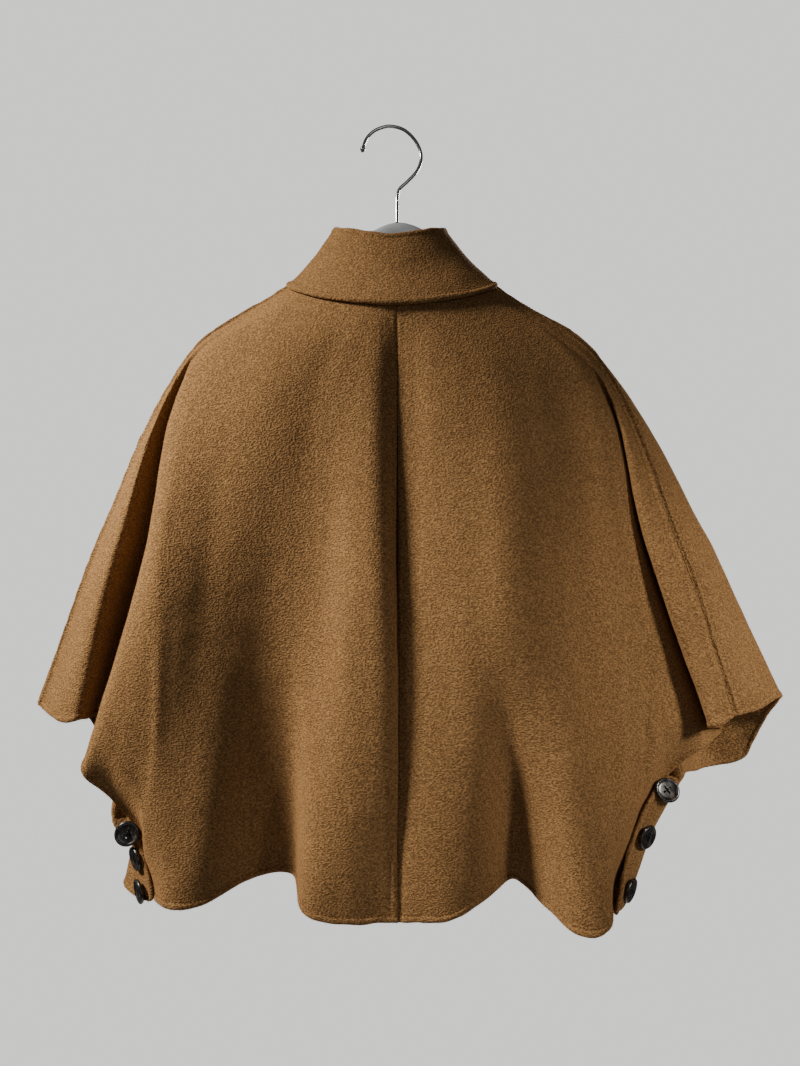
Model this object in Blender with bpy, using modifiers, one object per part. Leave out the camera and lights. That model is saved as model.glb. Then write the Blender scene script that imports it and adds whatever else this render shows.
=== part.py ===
"""A short wool cape hanging by its shoulders on a plain coat hanger.

Double-faced cloth in six sewn pieces: two backs with a slit centre seam, two
fronts that lap at the centre, a funnel collar, and three buttons a side where
each front laps over its back. The origin is the inside top of the hanger's
hook. The cape's back faces -Y, its fronts face +Y, and +Z is up.
"""

import math
from collections import namedtuple

import bmesh
import bpy
import numpy as np
from mathutils import Vector

MM = 0.001

# Cloth, in millimetres like every size below
CLOTH = 2.2
SEAM_GAP = 0.5
LAP_CLEARANCE = 1.5
WRAP_CLEARANCE = 5.2

# Neckline, an oval that drops at the centre back and further at the front
NECK_HALF_WIDTH = 105.0
NECK_BACK = 62.0
NECK_FRONT = 52.0
NECK_SIDE_Z = -170.0
NECK_BACK_DROP = 35.0
NECK_FRONT_DROP = 52.0
NECK_DROP_POWER = 1.2
CENTRE_SEAM_ANGLE = 3.0
FRONT_LAP_ANGLE = 13.0
FRONT_LAP_FROM = 150.0
FRONT_LAP_FULL = 172.0

# Collar
COLLAR_CLOTH = 2.4
COLLAR_TOP_HALF_WIDTH = 59.0
COLLAR_TOP_CENTRE_X = -2.5
COLLAR_TOP_BACK = 42.0
COLLAR_TOP_FRONT = 34.0
COLLAR_TOP_SIDE_Z = -110.0
COLLAR_TOP_BACK_DROP = 14.0
COLLAR_TOP_FRONT_DROP = 20.0
COLLAR_CLEARANCE = 1.7
COLLAR_HOLLOW = 3.0
COLLAR_STEPS_ROUND = 52
COLLAR_EVENING = 9.0
COLLAR_SHORTER = 1.5
COLLAR_LOW_SHARE = 0.011
COLLAR_KNOTS = (0.0, 0.08, 0.54, 1.0)
COLLAR_PLACES = (0.0, 0.08, 0.24, 0.42, 0.62, 0.82, 1.0)

# Buttons
BUTTON_RADIUS = 12.5
BUTTON_THICKNESS = 4.0
BUTTON_CLEARANCE = 0.3
BUTTON_FROM_WRAP = 1.2
BUTTON_SIDES = 24
SEAT_REACH = 3
SEAT_SAMPLES = 49

# Hanger
HANGER_HALF_THICKNESS = 4.5
HANGER_HALF_HEIGHT = 11.0
HANGER_END_HALF_HEIGHT = 7.0
HANGER_END_SHARE = 0.45
HANGER_SIDES = 12
HANGER_RINGS = 31
HOOK_WIRE_RADIUS = 1.8
HOOK_TIP_RADIUS = 3.0
HOOK_TIP_ROUNDING = 1.2
HOOK_TIP_TAPER = 0.5
HOOK_RINGS = 32

# A fall line runs down the cloth from the neckline to the outer edge. It
# passes the shoulder, a middle point and the edge, each (x, y, z). The turn
# carries its last stretch towards the wearer's front.
Fall = namedtuple("Fall", "name shoulder middle edge turn")

BACK_LEFT = [
    Fall("centre edge", (6, -60, -305), (4, -79, -567), (7, -98, -817), 0),
    Fall("centre fold", (-8, -67, -313), (-4, -93, -566), (-9, -99, -816), 0),
    Fall("centre lobe", (-30, -71, -303), (-38, -96, -563), (-47, -105, -815), 0),
    Fall("lobe edge", (-56, -71, -300), (-72, -80, -559), (-84, -99, -807), 0),
    Fall("valley", (-77, -67, -299), (-101, -67, -549), (-101, -48, -792), 0),
    Fall("outer valley", (-97, -65, -297), (-132, -66, -549), (-142, -50, -794), 0),
    Fall("side lobe", (-120, -62, -294), (-161, -71, -551), (-187, -86, -806), 0),
    Fall("outer lobe", (-145, -58, -290), (-187, -79, -551), (-224, -86, -807), 0),
    Fall("hem corner", (-165, -54, -286), (-208, -86, -544), (-252, -74, -804), 40),
    Fall("side", (-181, -50, -281), (-223, -89, -522), (-257, -72, -760), 38),
    Fall("side top", (-194, -45, -274), (-236, -87, -498), (-283, -74, -716), 24),
    Fall("body fold", (-206, -38, -267), (-247, -74, -476), (-307, -72, -682), 0),
    Fall("fold back", (-210, -31, -266), (-251, -48, -470), (-310, -44, -670), 0),
    Fall("recess wall", (-213, -22, -266), (-249, 2, -466), (-301, 2, -668), 0),
    Fall("recess", (-217, -14, -263), (-267, 27, -456), (-322, 28, -645), 0),
    Fall("sleeve fold", (-219, -15, -258), (-278, -36, -453), (-317, -46, -632), 0),
    Fall("sleeve face", (-216, -10, -250), (-290, -40, -446), (-342, -48, -634), 0),
    Fall("overarm seam", (-212, -3, -241), (-308, -12, -434), (-378, -14, -623), 0),
]

BACK_RIGHT = [
    Fall("centre edge", (6, -60, -305), (7, -76, -567), (4, -94, -818), 0),
    Fall("centre slope", (21, -65, -309), (18, -85, -565), (23, -101, -815), 0),
    Fall("centre lobe", (43, -71, -306), (47, -93, -563), (56, -106, -811), 0),
    Fall("lobe edge", (66, -73, -302), (76, -99, -554), (90, -92, -798), 0),
    Fall("valley", (89, -71, -297), (106, -101, -548), (125, -52, -794), 0),
    Fall("inner lobe", (109, -68, -295), (133, -98, -555), (151, -84, -806), 0),
    Fall("right lobe", (132, -63, -290), (160, -93, -562), (177, -118, -819), 0),
    Fall("outer lobe", (154, -57, -285), (184, -85, -558), (207, -112, -816), 0),
    Fall("hem corner", (172, -51, -279), (204, -76, -542), (225, -90, -802), 32),
    Fall("side", (186, -46, -276), (222, -67, -516), (254, -70, -757), 30),
    Fall("side top", (197, -42, -274), (239, -58, -488), (284, -60, -696), 24),
    Fall("body by sleeve", (205, -37, -273), (257, -49, -468), (324, -44, -661), 0),
    Fall("fold valley", (212, -29, -273), (282, -8, -459), (356, -4, -654), 0),
    Fall("sleeve fold", (215, -29, -269), (260, -57, -454), (320, -66, -635), 0),
    Fall("sleeve back", (216, -20, -261), (273, -63, -455), (329, -73, -632), 0),
    Fall("overarm seam", (217, -9, -252), (291, -57, -453), (344, -66, -625), 0),
]

FRONT_LEFT = [
    Fall("front edge", (24, 60, -322), (24, 70, -570), (24, 76, -812), 0),
    Fall("fly", (-6, 62, -322), (-8, 76, -570), (-8, 84, -814), 0),
    Fall("front lobe", (-34, 60, -318), (-44, 82, -566), (-52, 94, -816), 0),
    Fall("front dip", (-62, 56, -312), (-82, 66, -560), (-98, 56, -800), 0),
    Fall("outer lobe", (-90, 50, -306), (-124, 74, -556), (-150, 86, -812), 0),
    Fall("outer dip", (-118, 44, -296), (-166, 54, -552), (-200, 44, -798), 0),
    Fall("side lobe", (-142, 40, -288), (-204, 56, -548), (-246, 44, -806), 0),
    Fall("hem at side", (-162, 36, -282), (-240, 50, -542), (-288, -6, -818), 0),
    Fall("lap corner", (-176, 34, -278), (-248, 52, -528), None, 0),
    Fall("lap", (-188, 31, -273), (-258, 52, -515), None, 0),
    Fall("lap top", (-197, 28, -268), (-266, 52, -501), None, 0),
    Fall("arm low", (-205, 25, -264), (-274, 50, -488), (-304, 8, -729), 0),
    Fall("front fold", (-211, 22, -260), (-282, 46, -474), (-331, 44, -682), 0),
    Fall("front recess", (-216, 18, -256), (-292, 36, -462), (-340, 32, -652), 0),
    Fall("sleeve inner", (-219, 13, -252), (-302, 42, -450), (-354, 46, -640), 0),
    Fall("sleeve front", (-216, 6, -247), (-312, 20, -440), (-380, 20, -632), 0),
    Fall("overarm seam", (-212, -3, -241), (-308, -12, -434), (-378, -14, -623), 0),
]

FRONT_RIGHT = [
    Fall("front edge", (-24, 66, -322), (-26, 84, -568), (-26, 94, -814), 0),
    Fall("fly", (6, 66, -322), (6, 79, -570), (6, 86, -814), 0),
    Fall("fly seam", (34, 64, -320), (38, 79, -568), (44, 86, -814), 0),
    Fall("front lobe", (58, 60, -314), (72, 84, -562), (84, 96, -814), 0),
    Fall("front dip", (84, 54, -308), (106, 66, -556), (122, 58, -800), 0),
    Fall("outer lobe", (110, 48, -300), (146, 76, -552), (166, 88, -812), 0),
    Fall("outer dip", (136, 43, -290), (180, 60, -550), (204, 50, -800), 0),
    Fall("hem at side", (158, 39, -283), (212, 56, -546), (237, 0, -808), 0),
    Fall("lap corner", (174, 36, -278), (236, 56, -532), None, 0),
    Fall("lap", (186, 33, -273), (252, 54, -517), None, 0),
    Fall("lap top", (197, 31, -268), (268, 50, -503), None, 0),
    Fall("arm low", (206, 28, -264), (284, 48, -494), (350, 38, -708), 0),
    Fall("arm corner", (213, 24, -260), (299, 42, -484), (396, 36, -697), 0),
    Fall("arm edge", (212, 18, -253), (312, 34, -470), (407, 28, -671), 0),
    Fall("sleeve front", (215, 11, -247), (329, 20, -452), (414, 12, -642), 0),
    Fall("sleeve side", (217, 4, -242), (331, -14, -435), (411, -26, -613), 0),
    Fall("sleeve face", (219, -4, -246), (309, -46, -444), (376, -53, -620), 0),
    Fall("overarm seam", (217, -9, -252), (291, -57, -453), (344, -66, -625), 0),
]

# Where a front laps its back: the place across the back whose end the front
# wraps round, then the place across and the share down where its edge lies.
Lap = namedtuple("Lap", "front_fall wraps on_fall on_share")
LAPS_LEFT = [
    Lap("lap corner", 8.0, 7.4, 1.0),
    Lap("lap", 9.3, 8.4, 0.955),
    Lap("lap top", 9.95, 9.42, 0.995),
]
LAPS_RIGHT = [
    Lap("lap corner", 8.0, 7.45, 1.0),
    Lap("lap", 9.35, 8.5, 0.955),
    Lap("lap top", 10.35, 9.7, 0.97),
]

# Half section of a button, from the middle of its back, over its raised rim
# to its dished face, as shares of its radius and thickness
BUTTON_SECTION = [(0.0, 0.0), (0.80, 0.0), (1.0, 0.3), (1.0, 0.7), (0.90, 1.0),
                  (0.70, 0.72), (0.0, 0.66)]

# Buttons, as the place along the laps (0 at the lap corner, 2 at the top)
BUTTONS_LEFT = [0.20, 0.82, 1.55]
BUTTONS_RIGHT = [0.38, 1.08, 1.83]

# Shares of a fall line at its neck, shoulder, middle and edge. A front also
# has its belly, ahead of the lap, and the wrap round the back's edge.
SHARES = (0.0, 0.18, 0.59, 1.0)
LAP_SHARES = (0.0, 0.18, 0.59, 0.84, 0.94, 1.0)
BELLY_SHARE = 0.70
BELLY_DEPTH = 0.55
DOWN = (0, 0.045, 0.09, 0.135, 0.18, 0.25, 0.32, 0.40, 0.48, 0.56, 0.64,
        0.72, 0.80, 0.86, 0.90, 0.94, 0.97, 1.0)
TURN_FROM = 0.90
STEPS_BETWEEN_FALLS = 2

# Hanger's top edge and hook's centre line, as (x, z)
HANGER_TOP = [(-209, -243.8), (-160, -209.6), (-109, -176), (-60, -141), (-22, -113),
              (7, -103), (36, -112), (62, -134), (109, -176.4), (160, -211), (211, -246)]
HOOK_LINE = [(-32.6, -26), (-28.5, -13), (-20.5, -4), (-10, 0.8), (0, 1.8), (13, -2),
             (24, -12), (30.5, -24), (31.5, -35), (27, -47), (17, -58), (8.5, -66),
             (5.8, -74), (5.4, -86), (5.4, -102.4)]


def smooth(points, knots, places):
    """Points at the given places of a cubic curve through points at knots."""
    points = np.asarray(points, float)
    knots = np.asarray(knots, float)
    places = np.atleast_1d(np.asarray(places, float))
    slopes = np.empty_like(points)
    spans = (knots[2:] - knots[:-2]).reshape((-1,) + (1,) * (points.ndim - 1))
    slopes[1:-1] = (points[2:] - points[:-2]) / spans
    slopes[0] = (points[1] - points[0]) / (knots[1] - knots[0])
    slopes[-1] = (points[-1] - points[-2]) / (knots[-1] - knots[-2])
    last = len(knots) - 2
    index = np.clip(np.searchsorted(knots, places, side="right") - 1, 0, last)
    width = knots[index + 1] - knots[index]
    t = (places - knots[index]) / width
    shape = (len(places),) + (1,) * (points.ndim - 1)
    t = t.reshape(shape)
    width = width.reshape(shape)
    start = (1 + 2 * t) * (1 - t) ** 2 * points[index]
    leave = t * (1 - t) ** 2 * width * slopes[index]
    end = t ** 2 * (3 - 2 * t) * points[index + 1]
    arrive = t ** 2 * (t - 1) * width * slopes[index + 1]
    return start + leave + end + arrive


def oval(angle, half_width, back, front):
    """Sideways and backward place on an oval; the angle starts at centre back."""
    turn = math.radians(angle)
    depth = back if math.cos(turn) > 0 else front
    return half_width * math.sin(turn), -depth * math.cos(turn)


def oval_drop(angle, back_drop, front_drop):
    """How far a ring drops at an angle from its sides."""
    share = math.cos(math.radians(angle))
    drop = back_drop if share > 0 else front_drop
    return drop * abs(share) ** NECK_DROP_POWER


def front_lap(angle):
    """Share, 0 to 1, of the over front's full lift at an angle."""
    share = (angle - FRONT_LAP_FROM) / (FRONT_LAP_FULL - FRONT_LAP_FROM)
    return min(max(share, 0.0), 1.0)


def neckline(angle):
    x, y = oval(angle, NECK_HALF_WIDTH, NECK_BACK, NECK_FRONT)
    over_collar_end = CLOTH + COLLAR_CLOTH + 2 * COLLAR_CLEARANCE
    y += over_collar_end * front_lap(angle)
    return (x, y, NECK_SIDE_Z - oval_drop(angle, NECK_BACK_DROP, NECK_FRONT_DROP))


class Panel:
    """A cut piece, smooth between its fall lines and along each of them."""

    def __init__(self, falls, first_angle, last_angle, winding, laps_on=None, laps=()):
        self.falls = falls
        self.names = [fall.name for fall in falls]
        self.first_angle = first_angle
        self.last_angle = last_angle
        self.winding = winding
        self.laps_on = laps_on
        self.laps = {lap.front_fall: lap for lap in laps}
        self.shares = LAP_SHARES if laps_on else SHARES
        self.stations = np.array([self.fall_stations(i) for i in range(len(falls))])
        self.turns = np.array([fall.turn for fall in falls], float)

    def fall_stations(self, index):
        fall = self.falls[index]
        share = index / (len(self.falls) - 1)
        angle = self.first_angle + share * (self.last_angle - self.first_angle)
        upper = [neckline(angle), fall.shoulder, fall.middle]
        if not self.laps_on:
            return upper + [fall.edge]
        if fall.edge is None:
            return upper + self.lap_stations(fall)
        middle = np.array(fall.middle, float)
        edge = np.array(fall.edge, float)
        straight = [middle + (edge - middle) * (share - LAP_SHARES[2]) / (1 - LAP_SHARES[2])
                    for share in LAP_SHARES[3:]]
        return upper + straight

    def lap_stations(self, fall):
        """The front wraps the back's edge, then lies on the back's outer face."""
        lap = self.laps[fall.name]
        back = self.laps_on
        lift = CLOTH + LAP_CLEARANCE
        rim = back.at(lap.wraps, 1.0)
        onward = rim - back.at(lap.wraps, 0.96)
        onward *= WRAP_CLEARANCE / np.linalg.norm(onward)
        round_edge = rim + onward + (lift + WRAP_CLEARANCE) * back.outward(lap.wraps, 1.0)
        on_back = back.at(lap.on_fall, lap.on_share)
        on_back = on_back + lift * back.outward(lap.on_fall, lap.on_share)
        middle = np.array(fall.middle, float)
        belly = middle + BELLY_SHARE * (round_edge - middle)
        belly[1] = BELLY_DEPTH * middle[1]
        return [belly, round_edge, on_back]

    def grid(self, across, down):
        """Points at the fall places across and the shares down."""
        lines = smooth(self.stations.swapaxes(0, 1), self.shares, down)
        ramp = np.clip((np.asarray(down, float) - TURN_FROM) / (1 - TURN_FROM), 0, 1)
        lines[:, :, 1] += (ramp ** 1.5)[:, None] * self.turns[None, :]
        return smooth(lines.swapaxes(0, 1), np.arange(len(self.falls)), across)

    def at(self, place, share):
        return self.grid([place], [share])[0, 0]

    def outward(self, place, share):
        """Unit direction out of the cape at a place of the panel."""
        step = 0.02
        last = len(self.falls) - 1
        places = [max(place - step, 0), min(place + step, last)]
        shares = [max(share - step, 0), min(share + step, 1)]
        corner = self.grid(places, shares)
        across = corner[1].mean(axis=0) - corner[0].mean(axis=0)
        down = corner[:, 1].mean(axis=0) - corner[:, 0].mean(axis=0)
        normal = np.cross(across, down)
        return self.winding * normal / np.linalg.norm(normal)


def grid_mesh(name, points, closed_round=False):
    """A mesh of four-sided faces through a grid of points in millimetres."""
    rows, columns = points.shape[:2]
    mesh = bpy.data.meshes.new(name)
    work = bmesh.new()
    verts = [[work.verts.new(points[i, j] * MM) for j in range(columns)]
             for i in range(rows)]
    for i in range(rows if closed_round else rows - 1):
        for j in range(columns - 1):
            following = verts[(i + 1) % rows]
            work.faces.new((verts[i][j], following[j], following[j + 1], verts[i][j + 1]))
    if closed_round:
        work.faces.new([verts[i][0] for i in reversed(range(rows))])
        work.faces.new([verts[i][-1] for i in range(rows)])
    bmesh.ops.recalc_face_normals(work, faces=work.faces)
    work.to_mesh(mesh)
    work.free()
    mesh.shade_smooth()
    return mesh


def principled(name, colour, roughness, metallic=0.0):
    material = bpy.data.materials.new(name)
    material.use_nodes = True
    shader = material.node_tree.nodes["Principled BSDF"]
    shader.inputs["Base Color"].default_value = (*colour, 1)
    shader.inputs["Roughness"].default_value = roughness
    shader.inputs["Metallic"].default_value = metallic
    return material


def add_object(name, mesh, material, collection):
    thing = bpy.data.objects.new(name, mesh)
    thing.data.materials.append(material)
    collection.objects.link(thing)
    return thing


def add_cloth(name, points, thickness, material, collection):
    """A piece of cloth: the open surface, thickened equally to both sides."""
    thing = add_object(name, grid_mesh(name, points), material, collection)
    wall = thing.modifiers.new("Cloth", "SOLIDIFY")
    wall.thickness = thickness * MM
    wall.offset = 0
    return thing


def clear_scene():
    for thing in list(bpy.data.objects):
        bpy.data.objects.remove(thing)


def panel_points(panel):
    last = len(panel.falls) - 1
    return panel.grid(np.linspace(0, last, last * STEPS_BETWEEN_FALLS + 1), DOWN)


def hold_back(one, other, line):
    """Parts two sewn edges by the seam gap, more where they meet at an angle."""
    inner = 1 if line == 0 else -2
    inward = []
    for points in (one, other):
        step = points[inner] - points[line]
        inward.append(step / np.linalg.norm(step, axis=1)[:, None])
    across = np.clip(-(inward[0] * inward[1]).sum(axis=1), -0.5, 1)
    half_turn = np.sqrt((1 - across) / (1 + across))
    shift = (SEAM_GAP + CLOTH * half_turn)[:, None] / 2
    one[line] += inward[0] * shift
    other[line] += inward[1] * shift


def add_panels(panels, material, collection):
    points = {name: panel_points(panel) for name, panel in panels.items()}
    hold_back(points["back_left"], points["back_right"], 0)
    hold_back(points["back_left"], points["front_left"], -1)
    hold_back(points["back_right"], points["front_right"], -1)
    for name in panels:
        add_cloth(name, points[name], CLOTH, material, collection)


def make_panels():
    back_left = Panel(BACK_LEFT, CENTRE_SEAM_ANGLE, -90, 1)
    back_right = Panel(BACK_RIGHT, CENTRE_SEAM_ANGLE, 90, -1)
    reach = 180 + FRONT_LAP_ANGLE
    front_left = Panel(FRONT_LEFT, -reach, -90, -1, back_left, LAPS_LEFT)
    front_right = Panel(FRONT_RIGHT, reach, 90, 1, back_right, LAPS_RIGHT)
    return {"back_left": back_left, "back_right": back_right,
            "front_left": front_left, "front_right": front_right}


def collar_site(panels, angle):
    """The panel under the collar at an angle, and the fall place there."""
    if abs(angle) <= 90:
        name = "back_left" if angle < CENTRE_SEAM_ANGLE else "back_right"
    else:
        name = "front_left" if angle < 0 else "front_right"
    panel = panels[name]
    share = (angle - panel.first_angle) / (panel.last_angle - panel.first_angle)
    return panel, share * (len(panel.falls) - 1)


def collar_out(panels, angle, reach):
    """Outward direction under the collar, evened over the seams beside it."""
    total = np.zeros(3)
    for near in (-COLLAR_EVENING, 0, COLLAR_EVENING):
        panel, place = collar_site(panels, min(max(angle + near, -reach), reach))
        total += panel.outward(place, COLLAR_LOW_SHARE)
    return total / np.linalg.norm(total)


def collar_line(panels, angle, reach):
    """One upright line of the collar, from its lapped lower edge to its top."""
    panel, place = collar_site(panels, angle)
    lift = (CLOTH + COLLAR_CLOTH) / 2 + COLLAR_CLEARANCE
    out = collar_out(panels, angle, reach)
    low = panel.at(place, COLLAR_LOW_SHARE) + lift * out
    base = np.array(neckline(angle)) + lift * out
    x, y = oval(angle, COLLAR_TOP_HALF_WIDTH, COLLAR_TOP_BACK, COLLAR_TOP_FRONT)
    y += front_lap(angle) * (COLLAR_CLOTH + 2 * COLLAR_CLEARANCE)
    z = COLLAR_TOP_SIDE_Z - oval_drop(angle, COLLAR_TOP_BACK_DROP, COLLAR_TOP_FRONT_DROP)
    top = np.array([x + COLLAR_TOP_CENTRE_X, y, z])
    middle = (base + top) / 2 - COLLAR_HOLLOW * out
    stations = [low, base, middle, top]
    return smooth(stations, COLLAR_KNOTS, COLLAR_PLACES)


def collar_points(panels):
    reach = 180 + FRONT_LAP_ANGLE - COLLAR_SHORTER
    angles = np.linspace(-reach, reach, COLLAR_STEPS_ROUND + 1)
    return np.array([collar_line(panels, angle, reach) for angle in angles])


def add_collar(panels, material, collection):
    points = collar_points(panels)
    return add_cloth("collar", points, COLLAR_CLOTH, material, collection)


def button_mesh():
    """A round button, its face dished inside a raised rim."""
    work = bmesh.new()
    rings = []
    for radius_share, height_share in BUTTON_SECTION:
        radius = radius_share * BUTTON_RADIUS * MM
        height = height_share * BUTTON_THICKNESS * MM
        count = BUTTON_SIDES if radius else 1
        turns = [2 * math.pi * k / BUTTON_SIDES for k in range(count)]
        rings.append([work.verts.new((radius * math.cos(turn), radius * math.sin(turn), height))
                      for turn in turns])
    for low, high in zip(rings, rings[1:]):
        for k in range(BUTTON_SIDES):
            corners = [low[k % len(low)], low[(k + 1) % len(low)],
                       high[(k + 1) % len(high)], high[k % len(high)]]
            work.faces.new(list(dict.fromkeys(corners)))
    bmesh.ops.recalc_face_normals(work, faces=work.faces)
    mesh = bpy.data.meshes.new("button")
    work.to_mesh(mesh)
    work.free()
    return mesh


def button_seat(panel, points, place_along):
    """Where a button rests on the lap's facets, and the direction it faces."""
    row = (panel.names.index("lap corner") + place_along) * STEPS_BETWEEN_FALLS
    column = DOWN.index(LAP_SHARES[-2]) + BUTTON_FROM_WRAP
    near_rows = np.linspace(row - SEAT_REACH, row + SEAT_REACH, SEAT_SAMPLES)
    near_columns = np.linspace(column - SEAT_REACH, len(DOWN) - 1, SEAT_SAMPLES)
    near = facet_points(points, near_rows, near_columns)
    centre = facet_points(points, [row], [column])[0, 0]
    across = facet_points(points, [row + 0.5], [column])[0, 0]
    across = across - facet_points(points, [row - 0.5], [column])[0, 0]
    down = facet_points(points, [row], [column + 0.5])[0, 0]
    down = down - facet_points(points, [row], [column - 0.5])[0, 0]
    out = panel.winding * np.cross(across, down)
    out /= np.linalg.norm(out)
    offset = near.reshape(-1, 3) - centre
    height = offset @ out
    beside = np.linalg.norm(offset - height[:, None] * out, axis=1)
    rise = height[beside < BUTTON_RADIUS].max()
    return centre + out * (rise + CLOTH / 2 + BUTTON_CLEARANCE), out


def facet_points(points, rows, columns):
    """Points on the flat facets of a grid, at fractional rows and columns."""
    rows = np.asarray(rows, float)
    columns = np.asarray(columns, float)
    low_row = np.clip(np.floor(rows).astype(int), 0, points.shape[0] - 2)
    low_column = np.clip(np.floor(columns).astype(int), 0, points.shape[1] - 2)
    r = (rows - low_row)[:, None, None]
    c = (columns - low_column)[None, :, None]
    top = points[low_row][:, low_column] * (1 - c) + points[low_row][:, low_column + 1] * c
    low = points[low_row + 1][:, low_column] * (1 - c)
    low = low + points[low_row + 1][:, low_column + 1] * c
    return top * (1 - r) + low * r


def add_buttons(side, panel, places_along, material, collection):
    mesh = button_mesh()
    points = panel_points(panel)
    for number, place_along in enumerate(places_along, start=1):
        centre, out = button_seat(panel, points, place_along)
        button = add_object(f"button_{side}_{number}", mesh, material, collection)
        button.location = centre * MM
        button.rotation_mode = "QUATERNION"
        button.rotation_quaternion = Vector(out).to_track_quat("Z", "Y")


def add_hanger(material, collection):
    """The hanger's one-piece body: an arched bar of oval section, thinner at its ends."""
    last = HANGER_RINGS - 1
    places = np.linspace(0, 1, HANGER_RINGS)
    top = smooth(HANGER_TOP, np.linspace(0, 1, len(HANGER_TOP)), places)
    rings = []
    for index, (x, z) in enumerate(top):
        along = abs(2 * index / last - 1)
        half = HANGER_HALF_HEIGHT + (HANGER_END_HALF_HEIGHT - HANGER_HALF_HEIGHT) * along
        end = HANGER_END_SHARE if index in (0, last) else 1.0
        ahead = top[min(index + 1, last)] - top[max(index - 1, 0)]
        ahead = ahead / np.linalg.norm(ahead)
        down = np.array([ahead[1], -ahead[0]])
        ring = []
        for step in range(HANGER_SIDES):
            turn = 2 * math.pi * step / HANGER_SIDES
            drop = half * (1 - end * math.cos(turn))
            ring.append((x + down[0] * drop,
                         end * HANGER_HALF_THICKNESS * math.sin(turn),
                         z + down[1] * drop))
        rings.append(ring)
    points = np.array(rings).swapaxes(0, 1)
    mesh = grid_mesh("hanger", points, closed_round=True)
    return add_object("hanger_body", mesh, material, collection)


def add_hook(material, collection):
    """The steel wire hook, standing in the middle of the hanger's top."""
    knots = np.linspace(0, 1, len(HOOK_LINE))
    line = smooth(HOOK_LINE, knots, np.linspace(0, 1, HOOK_RINGS))
    curve = bpy.data.curves.new("hanger_hook", "CURVE")
    curve.dimensions = "3D"
    curve.bevel_depth = HOOK_WIRE_RADIUS * MM
    curve.bevel_resolution = 2
    curve.use_fill_caps = True
    spline = curve.splines.new("POLY")
    spline.points.add(len(line) - 1)
    tip = HOOK_TIP_RADIUS / HOOK_WIRE_RADIUS
    for index, (x, z) in enumerate(line):
        spline.points[index].co = (x * MM, 0, z * MM, 1)
        spline.points[index].radius = max(1.0, tip - HOOK_TIP_TAPER * index)
    spline.points[0].radius = HOOK_TIP_ROUNDING
    return add_object("hanger_hook", curve, material, collection)


def main():
    clear_scene()
    cape = bpy.data.collections.new("Cape on hanger")
    bpy.context.scene.collection.children.link(cape)
    wool = principled("Camel wool", (0.22, 0.10, 0.035), 0.9)
    horn = principled("Dark horn", (0.03, 0.025, 0.02), 0.35)
    plastic = principled("Grey plastic", (0.42, 0.44, 0.46), 0.45)
    steel = principled("Chromed wire", (0.6, 0.6, 0.6), 0.2, 1.0)
    panels = make_panels()
    add_panels(panels, wool, cape)
    add_collar(panels, wool, cape)
    add_buttons("left", panels["front_left"], BUTTONS_LEFT, horn, cape)
    add_buttons("right", panels["front_right"], BUTTONS_RIGHT, horn, cape)
    add_hanger(plastic, cape)
    add_hook(steel, cape)


main()
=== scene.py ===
# %% [markdown]
# # A short wool cape on a coat hanger
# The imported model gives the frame, which says where each solid stands. The
# origin is the inside top of the hanger's hook, +Z is up, the cape's back
# faces -Y and its fronts face +Y. This file draws each piece again, finer,
# over its own solid, and gives it the look of the real thing.

import math
from collections import namedtuple

import bmesh
import bpy
import numpy as np
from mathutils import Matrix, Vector, noise


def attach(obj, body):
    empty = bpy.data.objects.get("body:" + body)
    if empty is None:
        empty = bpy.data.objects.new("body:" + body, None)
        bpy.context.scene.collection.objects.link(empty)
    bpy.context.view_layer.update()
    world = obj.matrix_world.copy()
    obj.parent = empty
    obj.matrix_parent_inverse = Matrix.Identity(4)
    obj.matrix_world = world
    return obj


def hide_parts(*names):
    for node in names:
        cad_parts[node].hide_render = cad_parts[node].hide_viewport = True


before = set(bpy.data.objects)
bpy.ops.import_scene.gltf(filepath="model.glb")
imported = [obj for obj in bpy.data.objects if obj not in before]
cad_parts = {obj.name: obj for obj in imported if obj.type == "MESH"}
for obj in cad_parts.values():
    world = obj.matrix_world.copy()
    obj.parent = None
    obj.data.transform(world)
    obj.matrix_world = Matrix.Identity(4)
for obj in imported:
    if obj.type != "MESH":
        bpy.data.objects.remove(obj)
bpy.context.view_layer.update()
print("solids in the frame:", len(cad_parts))

# %% [markdown]
# ## Camera
# The photo was taken level with the cape's middle, from 0.87 m behind it. A
# view can be matched by eye, but here it is worked out: the focal length is
# 800 pixels of a picture 1066 pixels high, and a Blender lens is that share
# of its sensor's height.

# %% Camera
MM = 0.001
CAMERA_PLACE = (0.0087, -0.87, -0.4404)
PICTURE_HEIGHT = 1066.0
FOCAL_PIXELS = 800.0
SENSOR_HEIGHT = 36.0
NEAREST_SEEN = 0.02

camera_data = bpy.data.cameras.new("Camera")
camera_data.sensor_fit = "VERTICAL"
camera_data.sensor_height = SENSOR_HEIGHT
camera_data.lens = SENSOR_HEIGHT * FOCAL_PIXELS / PICTURE_HEIGHT
camera_data.clip_start = NEAREST_SEEN
camera = bpy.data.objects.new("Camera", camera_data)
camera.location = CAMERA_PLACE
camera.rotation_euler = (math.radians(90), 0, 0)
bpy.context.scene.collection.objects.link(camera)
bpy.context.scene.camera = camera
print("lens", round(camera_data.lens, 1), "mm")

# %% [markdown]
# ## Colours and nodes
# Every colour is written as it looks on a screen, and one function turns it
# to the linear light that Blender works in. Nodes could be placed by hand in
# the editor. One small function adds them here, so that each material reads
# as a list of what it holds.

# %% Colours, materials and nodes
def colour(code):
    """Linear colour of a screen colour such as "b08050"."""
    parts = [int(code[i:i + 2], 16) / 255 for i in (0, 2, 4)]
    linear = [c / 12.92 if c <= 0.04045 else ((c + 0.055) / 1.055) ** 2.4 for c in parts]
    return linear + [1.0]


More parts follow.
